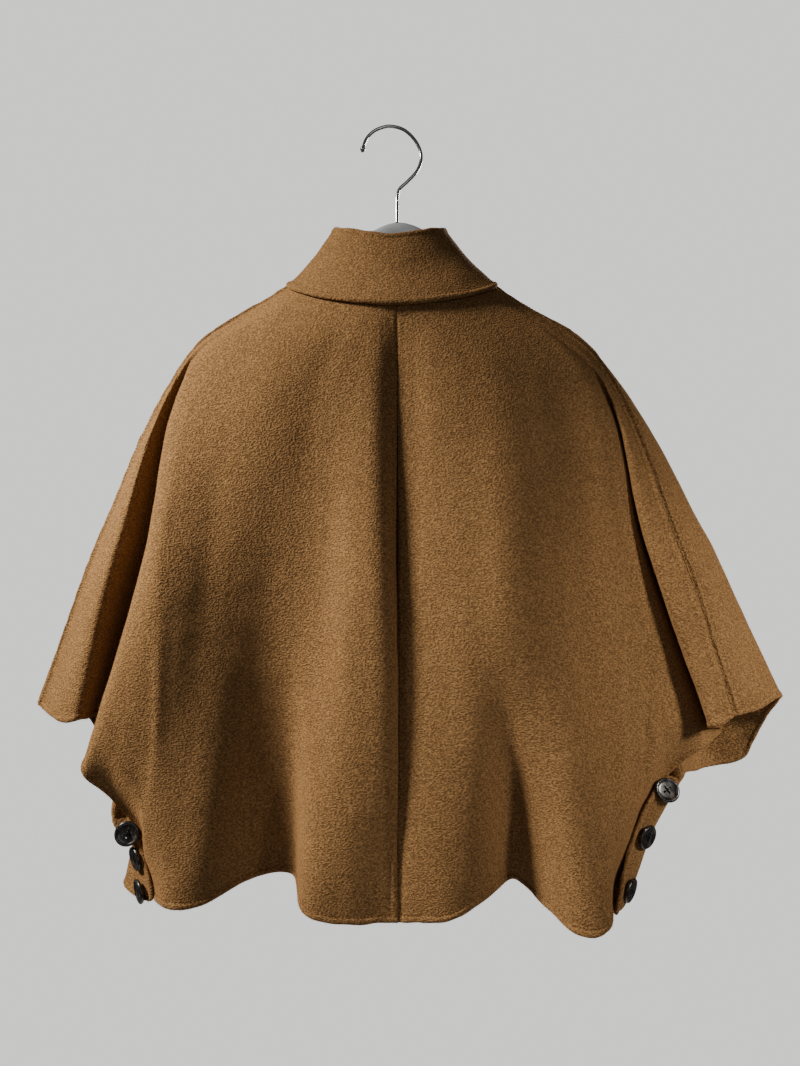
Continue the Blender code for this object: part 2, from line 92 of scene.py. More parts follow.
def new_material(name):
    """An empty node material, its tree, its output and its object coordinates."""
    material = bpy.data.materials.new(name)
    material.use_nodes = True
    tree = material.node_tree
    tree.nodes.clear()
    surface = tree.nodes.new("ShaderNodeOutputMaterial").inputs["Surface"]
    where = tree.nodes.new("ShaderNodeTexCoord").outputs["Object"]
    return material, tree, surface, where


def add_node(tree, kind, inputs=None, stops=(), **settings):
    """Adds a node. An input is set to a value, or joined to another socket.

    The stops are a colour ramp's (place, screen colour) pairs.
    """
    node = tree.nodes.new(kind)
    for key, value in settings.items():
        setattr(node, key, value)
    for key, value in (inputs or {}).items():
        if isinstance(value, bpy.types.NodeSocket):
            tree.links.new(value, node.inputs[key])
        else:
            node.inputs[key].default_value = value
    if stops:
        elements = node.color_ramp.elements
        while len(elements) < len(stops):
            elements.new(0.5)
        for element, (place, code) in zip(elements, stops):
            element.position = place
            element.color = colour(code)
    return node


def pattern_scale(sizes):
    """Scale of a Mapping node that makes a pattern so many millimetres large."""
    return [1 / (size * MM) for size in sizes]


print("black", colour("000000")[0], "white", colour("ffffff")[0])

# %% [markdown]
# ## Camel double-faced wool
# Two layers are woven as one cloth and milled until they felt. The nap is
# brushed up wet and dries in short ripples, 2 to 3 mm apart, that run mostly
# across the cloth. The eye sees light tips over darker hollows, no shine, and
# a soft sheen where the cloth turns away. The hollows' shade is painted into
# the colour here: the lower a ripple or hair, the darker. Real hairs all over
# would be too heavy and an image would repeat, so noise makes it. A bent noise
# is the ripples, a fine one the hairs, and a broad one the brush's uneven strokes.

# %% Wool
WARP_SIZE = (6.0, 6.0, 6.0)
WARP = (1.2, 1.2, 1.2)
RIPPLE_SIZE = (2.1, 2.1, 1.45)
RIPPLE_DEPTH = 0.55
HAIR_SIZE = (0.9, 0.9, 1.3)
HAIR_DEPTH = 0.35
STROKE_SIZE = (75.0, 75.0, 140.0)
# From the painted shade of the low hollows to the lit tips, in the wool's camel.
WOOL_AND_HOLLOW_SHADE_STOPS = [(0.22, "64492b"), (0.46, "84633e"), (0.72, "9c774d")]


def make_wool():
    material, tree, surface, where = new_material("Camel double-faced wool")
    at_warp, at_ripple, at_hair, at_stroke = [
        add_node(tree, "ShaderNodeMapping",
                 {"Vector": where, "Scale": pattern_scale(sizes)})
        .outputs[0] for sizes in (WARP_SIZE, RIPPLE_SIZE, HAIR_SIZE, STROKE_SIZE)]
    warp = add_node(tree, "ShaderNodeTexNoise",
                    {"Vector": at_warp, "Scale": 1.0, "Detail": 1.0, "Roughness": 0.5})
    bent = add_node(tree, "ShaderNodeVectorMath",
                    {0: warp.outputs["Color"], 1: WARP}, operation="MULTIPLY")
    place = add_node(tree, "ShaderNodeVectorMath",
                     {0: at_ripple, 1: bent.outputs[0]}, operation="ADD")
    ripple = add_node(tree, "ShaderNodeTexNoise",
                      {"Vector": place.outputs[0], "Scale": 1.0, "Detail": 1.5,
                       "Roughness": 0.45})
    crest = add_node(tree, "ShaderNodeMapRange",
                     {"Value": ripple.outputs["Fac"], "From Min": 0.32, "From Max": 0.68})
    hairs = add_node(tree, "ShaderNodeTexNoise",
                     {"Vector": at_hair, "Scale": 1.0, "Detail": 2.0, "Roughness": 0.6})
    strokes = add_node(tree, "ShaderNodeTexNoise",
                       {"Vector": at_stroke, "Scale": 1.0, "Detail": 3.0,
                        "Roughness": 0.55})
    # Painted shade and light: the height of ripple and hair sets the tone,
    # darker in the low hollows and lighter on the tips, and the strokes shift it
    # a little over a hand's width.
    tip_light_hollow_shade = add_node(tree, "ShaderNodeMath", {0: crest.outputs[0], 1: 0.75},
                    operation="MULTIPLY")
    hair_light_and_shade = add_node(tree, "ShaderNodeMath", {0: hairs.outputs["Fac"], 1: 0.5},
                       operation="MULTIPLY")
    height = add_node(tree, "ShaderNodeMath", {0: tip_light_hollow_shade.outputs[0], 1: hair_light_and_shade.outputs[0]},
                      operation="ADD")
    tone = add_node(tree, "ShaderNodeMath", {0: height.outputs[0], 1: 0.62},
                    operation="MULTIPLY")
    brushed = add_node(tree, "ShaderNodeMapRange",
                       {"Value": strokes.outputs["Fac"], "From Min": 0.3, "From Max": 0.7,
                        "To Min": -0.04, "To Max": 0.04})
    shade = add_node(tree, "ShaderNodeMath", {0: tone.outputs[0], 1: brushed.outputs[0]},
                     operation="ADD")
    base = add_node(tree, "ShaderNodeValToRGB", {"Fac": shade.outputs[0]}, stops=WOOL_AND_HOLLOW_SHADE_STOPS)
    fine = add_node(tree, "ShaderNodeBump",
                    {"Height": hairs.outputs["Fac"], "Strength": 0.5,
                     "Distance": HAIR_DEPTH * MM})
    bump = add_node(tree, "ShaderNodeBump",
                    {"Height": crest.outputs[0], "Strength": 1.0,
                     "Distance": RIPPLE_DEPTH * MM, "Normal": fine.outputs["Normal"]})
    shader = add_node(tree, "ShaderNodeBsdfPrincipled",
                      {"Base Color": base.outputs["Color"], "Roughness": 0.92,
                       "Specular IOR Level": 0.12, "Sheen Weight": 0.35,
                       "Sheen Roughness": 0.45, "Sheen Tint": colour("d9a066"),
                       "Normal": bump.outputs["Normal"]})
    tree.links.new(shader.outputs[0], surface)
    return material


wool = make_wool()
print("wool nodes:", len(wool.node_tree.nodes))

# %% [markdown]
# ## Thread and loose hair
# The thread is twisted polyester in the cloth's own brown. The nap is the same
# wool seen as single hairs, and the buttons are sewn on with black thread.
# All are matt, thin and a little uneven in tone, so one recipe with three
# colours serves them.

# %% Thread and hair
FIBRE_TONE_SIZE = (1.2, 1.2, 1.2)


def make_fibre(name, code, roughness, sheen=0.0):
    """A matt material with a fine uneven tone, for thread and loose hair."""
    material, tree, surface, where = new_material(name)
    place = add_node(tree, "ShaderNodeMapping",
                     {"Vector": where, "Scale": pattern_scale(FIBRE_TONE_SIZE)})
    tone = add_node(tree, "ShaderNodeTexNoise",
                    {"Vector": place.outputs[0], "Scale": 1.0, "Detail": 2.0})
    value = add_node(tree, "ShaderNodeMapRange",
                     {"Value": tone.outputs["Fac"], "From Min": 0.3, "From Max": 0.7,
                      "To Min": 0.75, "To Max": 1.2})
    shade = add_node(tree, "ShaderNodeHueSaturation",
                     {"Color": colour(code), "Value": value.outputs[0]})
    shader = add_node(tree, "ShaderNodeBsdfPrincipled",
                      {"Base Color": shade.outputs[0], "Roughness": roughness,
                       "Specular IOR Level": 0.2, "Sheen Weight": sheen})
    tree.links.new(shader.outputs[0], surface)
    return material


thread = make_fibre("Brown sewing thread", "6e4520", 0.7)
hair = make_fibre("Loose wool hair", "a8703a", 0.9, 0.3)
button_thread = make_fibre("Black button thread", "1a1613", 0.6)
print("fibres:", thread.name, "|", hair.name, "|", button_thread.name)

# %% [markdown]
# ## Dark polished horn
# The buttons are sawn from horn, turned and polished. Horn grows in layers,
# which show as grey streaks that run one way through near-black. A stretched
# noise gives the streaks. A thin coat gives the polish its small sharp light,
# and fine scratches keep it from looking like glass.

# %% Horn
HORN_LAYER_SIZE = (4.0, 14.0, 9.0)
HORN_SCRATCH_SIZE = (0.4, 3.0, 3.0)
HORN_STOPS = [(0.30, "0d0b0a"), (0.52, "1c1816"), (0.66, "4a443f"), (0.80, "2a2421")]
FINE_RELIEF = 0.1


def make_horn():
    material, tree, surface, where = new_material("Dark polished horn")
    at_layer, at_scratch = [
        add_node(tree, "ShaderNodeMapping",
                 {"Vector": where, "Scale": pattern_scale(sizes)})
        .outputs[0] for sizes in (HORN_LAYER_SIZE, HORN_SCRATCH_SIZE)]
    layers = add_node(tree, "ShaderNodeTexNoise",
                      {"Vector": at_layer, "Scale": 1.0, "Detail": 4.0, "Roughness": 0.6,
                       "Distortion": 1.2})
    base = add_node(tree, "ShaderNodeValToRGB", {"Fac": layers.outputs["Fac"]},
                    stops=HORN_STOPS)
    polish = add_node(tree, "ShaderNodeMapRange",
                      {"Value": layers.outputs["Fac"], "From Min": 0.3, "From Max": 0.8,
                       "To Min": 0.22, "To Max": 0.4})
    scratches = add_node(tree, "ShaderNodeTexNoise",
                         {"Vector": at_scratch, "Scale": 1.0, "Detail": 2.0})
    bump = add_node(tree, "ShaderNodeBump",
                    {"Height": scratches.outputs["Fac"], "Strength": 0.12,
                     "Distance": FINE_RELIEF * MM})
    shader = add_node(tree, "ShaderNodeBsdfPrincipled",
                      {"Base Color": base.outputs["Color"], "Roughness": polish.outputs[0],
                       "Coat Weight": 0.3, "Coat Roughness": 0.15,
                       "Normal": bump.outputs["Normal"]})
    tree.links.new(shader.outputs[0], surface)
    return material


horn = make_horn()
print("horn nodes:", len(horn.node_tree.nodes))

# %% [markdown]
# ## Cloudy grey moulded plastic
# The hanger is injection-moulded in one shot. The plastic is grey with slight
# clouds where it flowed, and lets a little light in, so its edges look soft.
# Subsurface gives that softness, and a fine grain in the bump is the mould's
# own blasted face.

# %% Hanger plastic
PLASTIC_CLOUD_SIZE = (30.0, 30.0, 12.0)
PLASTIC_GRAIN_SIZE = (0.5, 0.5, 0.5)
PLASTIC_STOPS = [(0.3, "8f949a"), (0.7, "a3a7ab")]
LIGHT_ENTERS = (0.004, 0.004, 0.004)


def make_hanger_plastic():
    material, tree, surface, where = new_material("Cloudy grey moulded plastic")
    at_cloud, at_grain = [
        add_node(tree, "ShaderNodeMapping",
                 {"Vector": where, "Scale": pattern_scale(sizes)})
        .outputs[0] for sizes in (PLASTIC_CLOUD_SIZE, PLASTIC_GRAIN_SIZE)]
    cloud = add_node(tree, "ShaderNodeTexNoise",
                     {"Vector": at_cloud, "Scale": 1.0, "Detail": 2.0})
    base = add_node(tree, "ShaderNodeValToRGB", {"Fac": cloud.outputs["Fac"]},
                    stops=PLASTIC_STOPS)
    grain = add_node(tree, "ShaderNodeTexNoise",
                     {"Vector": at_grain, "Scale": 1.0, "Detail": 1.0})
    bump = add_node(tree, "ShaderNodeBump",
                    {"Height": grain.outputs["Fac"], "Strength": 0.15,
                     "Distance": FINE_RELIEF * MM})
    shader = add_node(tree, "ShaderNodeBsdfPrincipled",
                      {"Base Color": base.outputs["Color"], "Roughness": 0.38,
                       "Subsurface Weight": 0.25, "Subsurface Radius": LIGHT_ENTERS,
                       "Normal": bump.outputs["Normal"]})
    tree.links.new(shader.outputs[0], surface)
    return material


hanger_plastic = make_hanger_plastic()
print("plastic nodes:", len(hanger_plastic.node_tree.nodes))

# %% [markdown]
# ## Chromed steel wire
# The hook is steel wire, drawn, bent cold and chromed. It mirrors the room in
# narrow streaks. The drawing leaves fine marks along the wire, so the noise is
# stretched along Z and moves the roughness a little as well as the surface.

# %% Chrome
DRAWING_MARK_SIZE = (0.6, 0.6, 6.0)


def make_chrome():
    material, tree, surface, where = new_material("Chromed steel wire")
    place = add_node(tree, "ShaderNodeMapping",
                     {"Vector": where, "Scale": pattern_scale(DRAWING_MARK_SIZE)})
    marks = add_node(tree, "ShaderNodeTexNoise",
                     {"Vector": place.outputs[0], "Scale": 1.0, "Detail": 2.0})
    polish = add_node(tree, "ShaderNodeMapRange",
                      {"Value": marks.outputs["Fac"], "From Min": 0.3, "From Max": 0.7,
                       "To Min": 0.12, "To Max": 0.24})
    bump = add_node(tree, "ShaderNodeBump",
                    {"Height": marks.outputs["Fac"], "Strength": 0.08,
                     "Distance": FINE_RELIEF * MM})
    shader = add_node(tree, "ShaderNodeBsdfPrincipled",
                      {"Base Color": colour("c9cacb"), "Metallic": 1.0,
                       "Roughness": polish.outputs[0], "Normal": bump.outputs["Normal"]})
    tree.links.new(shader.outputs[0], surface)
    return material


chrome = make_chrome()
print("materials:", len(bpy.data.materials))

# %% [markdown]
# ## The cut pieces
# Two backs and two fronts are cut with their sleeves in one and hang in folds.
# Folds could be left to a cloth simulation, but these must match a photo and
# the solids, so they are stated. A fall line runs down the cloth from the
# neckline to the outer edge, along the crest or the trough of a fold. It passes
# the shoulder, a middle point and the edge, each (x, y, z) in millimetres. The
# turn carries its last stretch towards the wearer's front.

# %% Sizes of the cloth, the neck and the collar
# Cloth, in millimetres like every size below
CLOTH = 2.2
SEAM_GAP = 0.5
LAP_CLEARANCE = 1.5
WRAP_CLEARANCE = 5.2

# Neckline, an oval that drops at the centre back and further at the front
NECK_HALF_WIDTH = 105.0
NECK_BACK = 62.0
NECK_FRONT = 52.0
NECK_SIDE_Z = -170.0
NECK_BACK_DROP = 35.0
NECK_FRONT_DROP = 52.0
NECK_DROP_POWER = 1.2
CENTRE_SEAM_ANGLE = 3.0
FRONT_LAP_ANGLE = 13.0
FRONT_LAP_FROM = 150.0
FRONT_LAP_FULL = 172.0

# Collar
COLLAR_CLOTH = 2.4
COLLAR_TOP_HALF_WIDTH = 59.0
COLLAR_TOP_CENTRE_X = -2.5
COLLAR_TOP_BACK = 42.0
COLLAR_TOP_FRONT = 34.0
COLLAR_TOP_SIDE_Z = -110.0
COLLAR_TOP_BACK_DROP = 14.0
COLLAR_TOP_FRONT_DROP = 20.0
COLLAR_CLEARANCE = 1.7
COLLAR_HOLLOW = 3.0
COLLAR_EVENING = 9.0
COLLAR_SHORTER = 1.5
COLLAR_LOW_SHARE = 0.011
COLLAR_KNOTS = (0.0, 0.08, 0.54, 1.0)
COLLAR_PLACES = (0.0, 0.08, 0.24, 0.42, 0.62, 0.82, 1.0)
print("cloth", CLOTH, "mm thick, collar", COLLAR_CLOTH, "mm")

# %% Fall lines of the backs
Fall = namedtuple("Fall", "name shoulder middle edge turn")

BACK_LEFT = [
    Fall("centre edge", (6, -60, -305), (4, -79, -567), (7, -98, -817), 0),
    Fall("centre fold", (-8, -67, -313), (-4, -93, -566), (-9, -99, -816), 0),
    Fall("centre lobe", (-30, -71, -303), (-38, -96, -563), (-47, -105, -815), 0),
    Fall("lobe edge", (-56, -71, -300), (-72, -80, -559), (-84, -99, -807), 0),
    Fall("valley", (-77, -67, -299), (-101, -67, -549), (-101, -48, -792), 0),
    Fall("outer valley", (-97, -65, -297), (-132, -66, -549), (-142, -50, -794), 0),
    Fall("side lobe", (-120, -62, -294), (-161, -71, -551), (-187, -86, -806), 0),
    Fall("outer lobe", (-145, -58, -290), (-187, -79, -551), (-224, -86, -807), 0),
    Fall("hem corner", (-165, -54, -286), (-208, -86, -544), (-252, -74, -804), 40),
    Fall("side", (-181, -50, -281), (-223, -89, -522), (-257, -72, -760), 38),
    Fall("side top", (-194, -45, -274), (-236, -87, -498), (-283, -74, -716), 24),
    Fall("body fold", (-206, -38, -267), (-247, -74, -476), (-307, -72, -682), 0),
    Fall("fold back", (-210, -31, -266), (-251, -48, -470), (-310, -44, -670), 0),
    Fall("recess wall", (-213, -22, -266), (-249, 2, -466), (-301, 2, -668), 0),
    Fall("recess", (-217, -14, -263), (-267, 27, -456), (-322, 28, -645), 0),
    Fall("sleeve fold", (-219, -15, -258), (-278, -36, -453), (-317, -46, -632), 0),
    Fall("sleeve face", (-216, -10, -250), (-290, -40, -446), (-342, -48, -634), 0),
    Fall("overarm seam", (-212, -3, -241), (-308, -12, -434), (-378, -14, -623), 0),
]

BACK_RIGHT = [
    Fall("centre edge", (6, -60, -305), (7, -76, -567), (4, -94, -818), 0),
    Fall("centre slope", (21, -65, -309), (18, -85, -565), (23, -101, -815), 0),
    Fall("centre lobe", (43, -71, -306), (47, -93, -563), (56, -106, -811), 0),
    Fall("lobe edge", (66, -73, -302), (76, -99, -554), (90, -92, -798), 0),
    Fall("valley", (89, -71, -297), (106, -101, -548), (125, -52, -794), 0),
    Fall("inner lobe", (109, -68, -295), (133, -98, -555), (151, -84, -806), 0),
    Fall("right lobe", (132, -63, -290), (160, -93, -562), (177, -118, -819), 0),
    Fall("outer lobe", (154, -57, -285), (184, -85, -558), (207, -112, -816), 0),
    Fall("hem corner", (172, -51, -279), (204, -76, -542), (225, -90, -802), 32),
    Fall("side", (186, -46, -276), (222, -67, -516), (254, -70, -757), 30),
    Fall("side top", (197, -42, -274), (239, -58, -488), (284, -60, -696), 24),
    Fall("body by sleeve", (205, -37, -273), (257, -49, -468), (324, -44, -661), 0),
    Fall("fold valley", (212, -29, -273), (282, -8, -459), (356, -4, -654), 0),
    Fall("sleeve fold", (215, -29, -269), (260, -57, -454), (320, -66, -635), 0),
    Fall("sleeve back", (216, -20, -261), (273, -63, -455), (329, -73, -632), 0),
    Fall("overarm seam", (217, -9, -252), (291, -57, -453), (344, -66, -625), 0),
]

print("fall lines of the backs:", len(BACK_LEFT), "and", len(BACK_RIGHT))

# %% Fall lines of the fronts
FRONT_LEFT = [
    Fall("front edge", (24, 60, -322), (24, 70, -570), (24, 76, -812), 0),
    Fall("fly", (-6, 62, -322), (-8, 76, -570), (-8, 84, -814), 0),
    Fall("front lobe", (-34, 60, -318), (-44, 82, -566), (-52, 94, -816), 0),
    Fall("front dip", (-62, 56, -312), (-82, 66, -560), (-98, 56, -800), 0),
    Fall("outer lobe", (-90, 50, -306), (-124, 74, -556), (-150, 86, -812), 0),
    Fall("outer dip", (-118, 44, -296), (-166, 54, -552), (-200, 44, -798), 0),
    Fall("side lobe", (-142, 40, -288), (-204, 56, -548), (-246, 44, -806), 0),
    Fall("hem at side", (-162, 36, -282), (-240, 50, -542), (-288, -6, -818), 0),
    Fall("lap corner", (-176, 34, -278), (-248, 52, -528), None, 0),
    Fall("lap", (-188, 31, -273), (-258, 52, -515), None, 0),
    Fall("lap top", (-197, 28, -268), (-266, 52, -501), None, 0),
    Fall("arm low", (-205, 25, -264), (-274, 50, -488), (-304, 8, -729), 0),
    Fall("front fold", (-211, 22, -260), (-282, 46, -474), (-331, 44, -682), 0),
    Fall("front recess", (-216, 18, -256), (-292, 36, -462), (-340, 32, -652), 0),
    Fall("sleeve inner", (-219, 13, -252), (-302, 42, -450), (-354, 46, -640), 0),
    Fall("sleeve front", (-216, 6, -247), (-312, 20, -440), (-380, 20, -632), 0),
    Fall("overarm seam", (-212, -3, -241), (-308, -12, -434), (-378, -14, -623), 0),
]

FRONT_RIGHT = [
    Fall("front edge", (-24, 66, -322), (-26, 84, -568), (-26, 94, -814), 0),
    Fall("fly", (6, 66, -322), (6, 79, -570), (6, 86, -814), 0),
    Fall("fly seam", (34, 64, -320), (38, 79, -568), (44, 86, -814), 0),
    Fall("front lobe", (58, 60, -314), (72, 84, -562), (84, 96, -814), 0),
    Fall("front dip", (84, 54, -308), (106, 66, -556), (122, 58, -800), 0),
    Fall("outer lobe", (110, 48, -300), (146, 76, -552), (166, 88, -812), 0),
    Fall("outer dip", (136, 43, -290), (180, 60, -550), (204, 50, -800), 0),
    Fall("hem at side", (158, 39, -283), (212, 56, -546), (237, 0, -808), 0),
    Fall("lap corner", (174, 36, -278), (236, 56, -532), None, 0),
    Fall("lap", (186, 33, -273), (252, 54, -517), None, 0),
    Fall("lap top", (197, 31, -268), (268, 50, -503), None, 0),
    Fall("arm low", (206, 28, -264), (284, 48, -494), (350, 38, -708), 0),
    Fall("arm corner", (213, 24, -260), (299, 42, -484), (396, 36, -697), 0),
    Fall("arm edge", (212, 18, -253), (312, 34, -470), (407, 28, -671), 0),
    Fall("sleeve front", (215, 11, -247), (329, 20, -452), (414, 12, -642), 0),
    Fall("sleeve side", (217, 4, -242), (331, -14, -435), (411, -26, -613), 0),
    Fall("sleeve face", (219, -4, -246), (309, -46, -444), (376, -53, -620), 0),
    Fall("overarm seam", (217, -9, -252), (291, -57, -453), (344, -66, -625), 0),
]

print("fall lines of the fronts:", len(FRONT_LEFT), "and", len(FRONT_RIGHT))

# %% [markdown]
# ## Laps
# Below each sleeve the front is lapped onto the back and buttoned. The lap
# could have fall lines of its own, but they would drift from the back's. Each
# is placed on the back's surface instead, and the front is led there.

# %% Laps and shares
# Where a front laps its back: the place across the back whose end the front
# wraps round, then the place across and the share down where its edge lies.
Lap = namedtuple("Lap", "front_fall wraps on_fall on_share")
LAPS_LEFT = [
    Lap("lap corner", 8.0, 7.4, 1.0),
    Lap("lap", 9.3, 8.4, 0.955),
    Lap("lap top", 9.95, 9.42, 0.995),
]
LAPS_RIGHT = [
    Lap("lap corner", 8.0, 7.45, 1.0),
    Lap("lap", 9.35, 8.5, 0.955),
    Lap("lap top", 10.35, 9.7, 0.97),
]

# Shares of a fall line at its neck, shoulder, middle and edge. A front also
# has its belly, ahead of the lap, and the wrap round the back's edge.
SHARES = (0.0, 0.18, 0.59, 1.0)
LAP_SHARES = (0.0, 0.18, 0.59, 0.84, 0.94, 1.0)
BELLY_SHARE = 0.70
BELLY_DEPTH = 0.55
TURN_FROM = 0.90
TURN_POWER = 1.5
print("laps:", len(LAPS_LEFT), "on the left,", len(LAPS_RIGHT), "on the right")

# %% [markdown]
# ## A smooth surface through the fall lines
# Cloth bends but has no corners. Straight faces between the fall lines would
# look like folded card, so a cubic curve runs through the points of each
# line, and another across from line to line. It keeps to the points it is
# given, which a curve that only leans towards them would not.

# %% Smooth curves
def smooth(points, knots, places):
    """Points at the given places of a cubic curve through points at knots."""
    points = np.asarray(points, float)
    knots = np.asarray(knots, float)
    places = np.atleast_1d(np.asarray(places, float))
    slopes = np.empty_like(points)
    spans = (knots[2:] - knots[:-2]).reshape((-1,) + (1,) * (points.ndim - 1))
    slopes[1:-1] = (points[2:] - points[:-2]) / spans
    slopes[0] = (points[1] - points[0]) / (knots[1] - knots[0])
    slopes[-1] = (points[-1] - points[-2]) / (knots[-1] - knots[-2])
    last = len(knots) - 2
    index = np.clip(np.searchsorted(knots, places, side="right") - 1, 0, last)
    width = knots[index + 1] - knots[index]
    t = (places - knots[index]) / width
    shape = (len(places),) + (1,) * (points.ndim - 1)
    t = t.reshape(shape)
    width = width.reshape(shape)
    start = (1 + 2 * t) * (1 - t) ** 2 * points[index]
    leave = t * (1 - t) ** 2 * width * slopes[index]
    end = t ** 2 * (3 - 2 * t) * points[index + 1]
    arrive = t ** 2 * (t - 1) * width * slopes[index + 1]
    return start + leave + end + arrive


print("halfway up a curve through 0, 1, 0:", smooth([0, 1, 0], [0, 1, 2], [0.5]).round(2))

# %% [markdown]
# ## Neckline
# The neckline is an oval seen from above that drops at the centre back and
# further at the centre front, where the over front lifts clear of the other.

# %% The neckline's oval
def oval(angle, half_width, back, front):
    """Sideways and backward place on an oval; the angle starts at centre back."""
    turn = math.radians(angle)
    depth = back if math.cos(turn) > 0 else front
    return half_width * math.sin(turn), -depth * math.cos(turn)


def oval_drop(angle, back_drop, front_drop):
    """How far a ring drops at an angle from its sides."""
    share = math.cos(math.radians(angle))
    drop = back_drop if share > 0 else front_drop
    return drop * abs(share) ** NECK_DROP_POWER


def front_lap(angle):
    """Share, 0 to 1, of the over front's full lift at an angle."""
    share = (angle - FRONT_LAP_FROM) / (FRONT_LAP_FULL - FRONT_LAP_FROM)
    return min(max(share, 0.0), 1.0)


def neckline(angle):
    """Point of the neckline at an angle."""
    x, y = oval(angle, NECK_HALF_WIDTH, NECK_BACK, NECK_FRONT)
    over_collar_end = CLOTH + COLLAR_CLOTH + 2 * COLLAR_CLEARANCE
    y += over_collar_end * front_lap(angle)
    return (x, y, NECK_SIDE_Z - oval_drop(angle, NECK_BACK_DROP, NECK_FRONT_DROP))


print("neckline at centre back:", [round(c, 1) for c in neckline(0)])

# %% [markdown]
# ## A panel
# Where a front laps its back, it wraps the back's edge and lies on its outer
# face. That could be two loose sheets side by side, but then they would cross
# at the folds. So the front's last points are taken from the back, moved out.

# %% A panel between its fall lines
NEAR_RIM = 0.96
PROBE = 0.02


class Panel:
    """A cut piece, smooth between its fall lines and along each of them."""

    def __init__(self, falls, first_angle, last_angle, winding, laps_on=None, laps=()):
        self.falls = falls
        self.first_angle = first_angle
        self.last_angle = last_angle
        self.winding = winding
        self.laps_on = laps_on
        self.laps = {lap.front_fall: lap for lap in laps}
        self.shares = LAP_SHARES if laps_on else SHARES
        self.stations = np.array([self.fall_stations(i) for i in range(len(falls))])
        self.turns = np.array([fall.turn for fall in falls], float)

    def fall_stations(self, index):
        """Points down a fall line, at each of the panel's shares."""
        fall = self.falls[index]
        share = index / (len(self.falls) - 1)
        angle = self.first_angle + share * (self.last_angle - self.first_angle)
        upper = [neckline(angle), fall.shoulder, fall.middle]
        if not self.laps_on:
            return upper + [fall.edge]
        if fall.edge is None:
            return upper + self.lap_stations(fall)
        middle = np.array(fall.middle, float)
        edge = np.array(fall.edge, float)
        straight = [middle + (edge - middle) * (share - LAP_SHARES[2]) / (1 - LAP_SHARES[2])
                    for share in LAP_SHARES[3:]]
        return upper + straight

    def lap_stations(self, fall):
        """The front wraps the back's edge, then lies on the back's outer face."""
        lap = self.laps[fall.name]
        back = self.laps_on
        lift = CLOTH + LAP_CLEARANCE
        rim = back.at(lap.wraps, 1.0)
        onward = rim - back.at(lap.wraps, NEAR_RIM)
        onward *= WRAP_CLEARANCE / np.linalg.norm(onward)
        round_edge = rim + onward + (lift + WRAP_CLEARANCE) * back.outward(lap.wraps, 1.0)
        on_back = back.at(lap.on_fall, lap.on_share)
        on_back = on_back + lift * back.outward(lap.on_fall, lap.on_share)
        middle = np.array(fall.middle, float)
        belly = middle + BELLY_SHARE * (round_edge - middle)
        belly[1] = BELLY_DEPTH * middle[1]
        return [belly, round_edge, on_back]

    def grid(self, across, down):
        """Points at the fall places across and the shares down."""
        lines = smooth(self.stations.swapaxes(0, 1), self.shares, down)
        ramp = np.clip((np.asarray(down, float) - TURN_FROM) / (1 - TURN_FROM), 0, 1)
        lines[:, :, 1] += (ramp ** TURN_POWER)[:, None] * self.turns[None, :]
        return smooth(lines.swapaxes(0, 1), np.arange(len(self.falls)), across)

    def at(self, place, share):
        """One point of the panel."""
        return self.grid([place], [share])[0, 0]

    def outward(self, place, share):
        """Unit direction out of the cape at a place of the panel."""
        last = len(self.falls) - 1
        places = [max(place - PROBE, 0), min(place + PROBE, last)]
        shares = [max(share - PROBE, 0), min(share + PROBE, 1)]
        corner = self.grid(places, shares)
        across = corner[1].mean(axis=0) - corner[0].mean(axis=0)
        down = corner[:, 1].mean(axis=0) - corner[:, 0].mean(axis=0)
        normal = np.cross(across, down)
        return self.winding * normal / np.linalg.norm(normal)


def make_panels():
    """The two backs, and the two fronts that lap them at the sides."""
    back_left = Panel(BACK_LEFT, CENTRE_SEAM_ANGLE, -90, 1)
    back_right = Panel(BACK_RIGHT, CENTRE_SEAM_ANGLE, 90, -1)
    reach = 180 + FRONT_LAP_ANGLE
    front_left = Panel(FRONT_LEFT, -reach, -90, -1, back_left, LAPS_LEFT)
    front_right = Panel(FRONT_RIGHT, reach, 90, 1, back_right, LAPS_RIGHT)
    return {"back_left": back_left, "back_right": back_right,
            "front_left": front_left, "front_right": front_right}


print("panels:", ", ".join(make_panels()))

# %% The collar's lines over the panels
def collar_site(panels, angle):
    """The panel under the collar at an angle, and the fall place there."""
    if abs(angle) <= 90:
        name = "back_left" if angle < CENTRE_SEAM_ANGLE else "back_right"
    else:
        name = "front_left" if angle < 0 else "front_right"
    panel = panels[name]
    share = (angle - panel.first_angle) / (panel.last_angle - panel.first_angle)
    return panel, share * (len(panel.falls) - 1)


def collar_out(panels, angle, reach):
    """Outward direction under the collar, evened over the seams beside it."""
    total = np.zeros(3)
    for near in (-COLLAR_EVENING, 0, COLLAR_EVENING):
        panel, place = collar_site(panels, min(max(angle + near, -reach), reach))
        total += panel.outward(place, COLLAR_LOW_SHARE)
    return total / np.linalg.norm(total)


def collar_line(panels, angle, reach):
    """One upright line of the collar, from its lapped lower edge to its top."""
    panel, place = collar_site(panels, angle)
    lift = (CLOTH + COLLAR_CLOTH) / 2 + COLLAR_CLEARANCE
    out = collar_out(panels, angle, reach)
    low = panel.at(place, COLLAR_LOW_SHARE) + lift * out
    base = np.array(neckline(angle)) + lift * out
    x, y = oval(angle, COLLAR_TOP_HALF_WIDTH, COLLAR_TOP_BACK, COLLAR_TOP_FRONT)
    y += front_lap(angle) * (COLLAR_CLOTH + 2 * COLLAR_CLEARANCE)
    z = COLLAR_TOP_SIDE_Z - oval_drop(angle, COLLAR_TOP_BACK_DROP, COLLAR_TOP_FRONT_DROP)
    top = np.array([x + COLLAR_TOP_CENTRE_X, y, z])
    middle = (base + top) / 2 - COLLAR_HOLLOW * out
    stations = [low, base, middle, top]
    return smooth(stations, COLLAR_KNOTS, COLLAR_PLACES)


print("collar goes up to z", COLLAR_TOP_SIDE_Z, "at its sides")

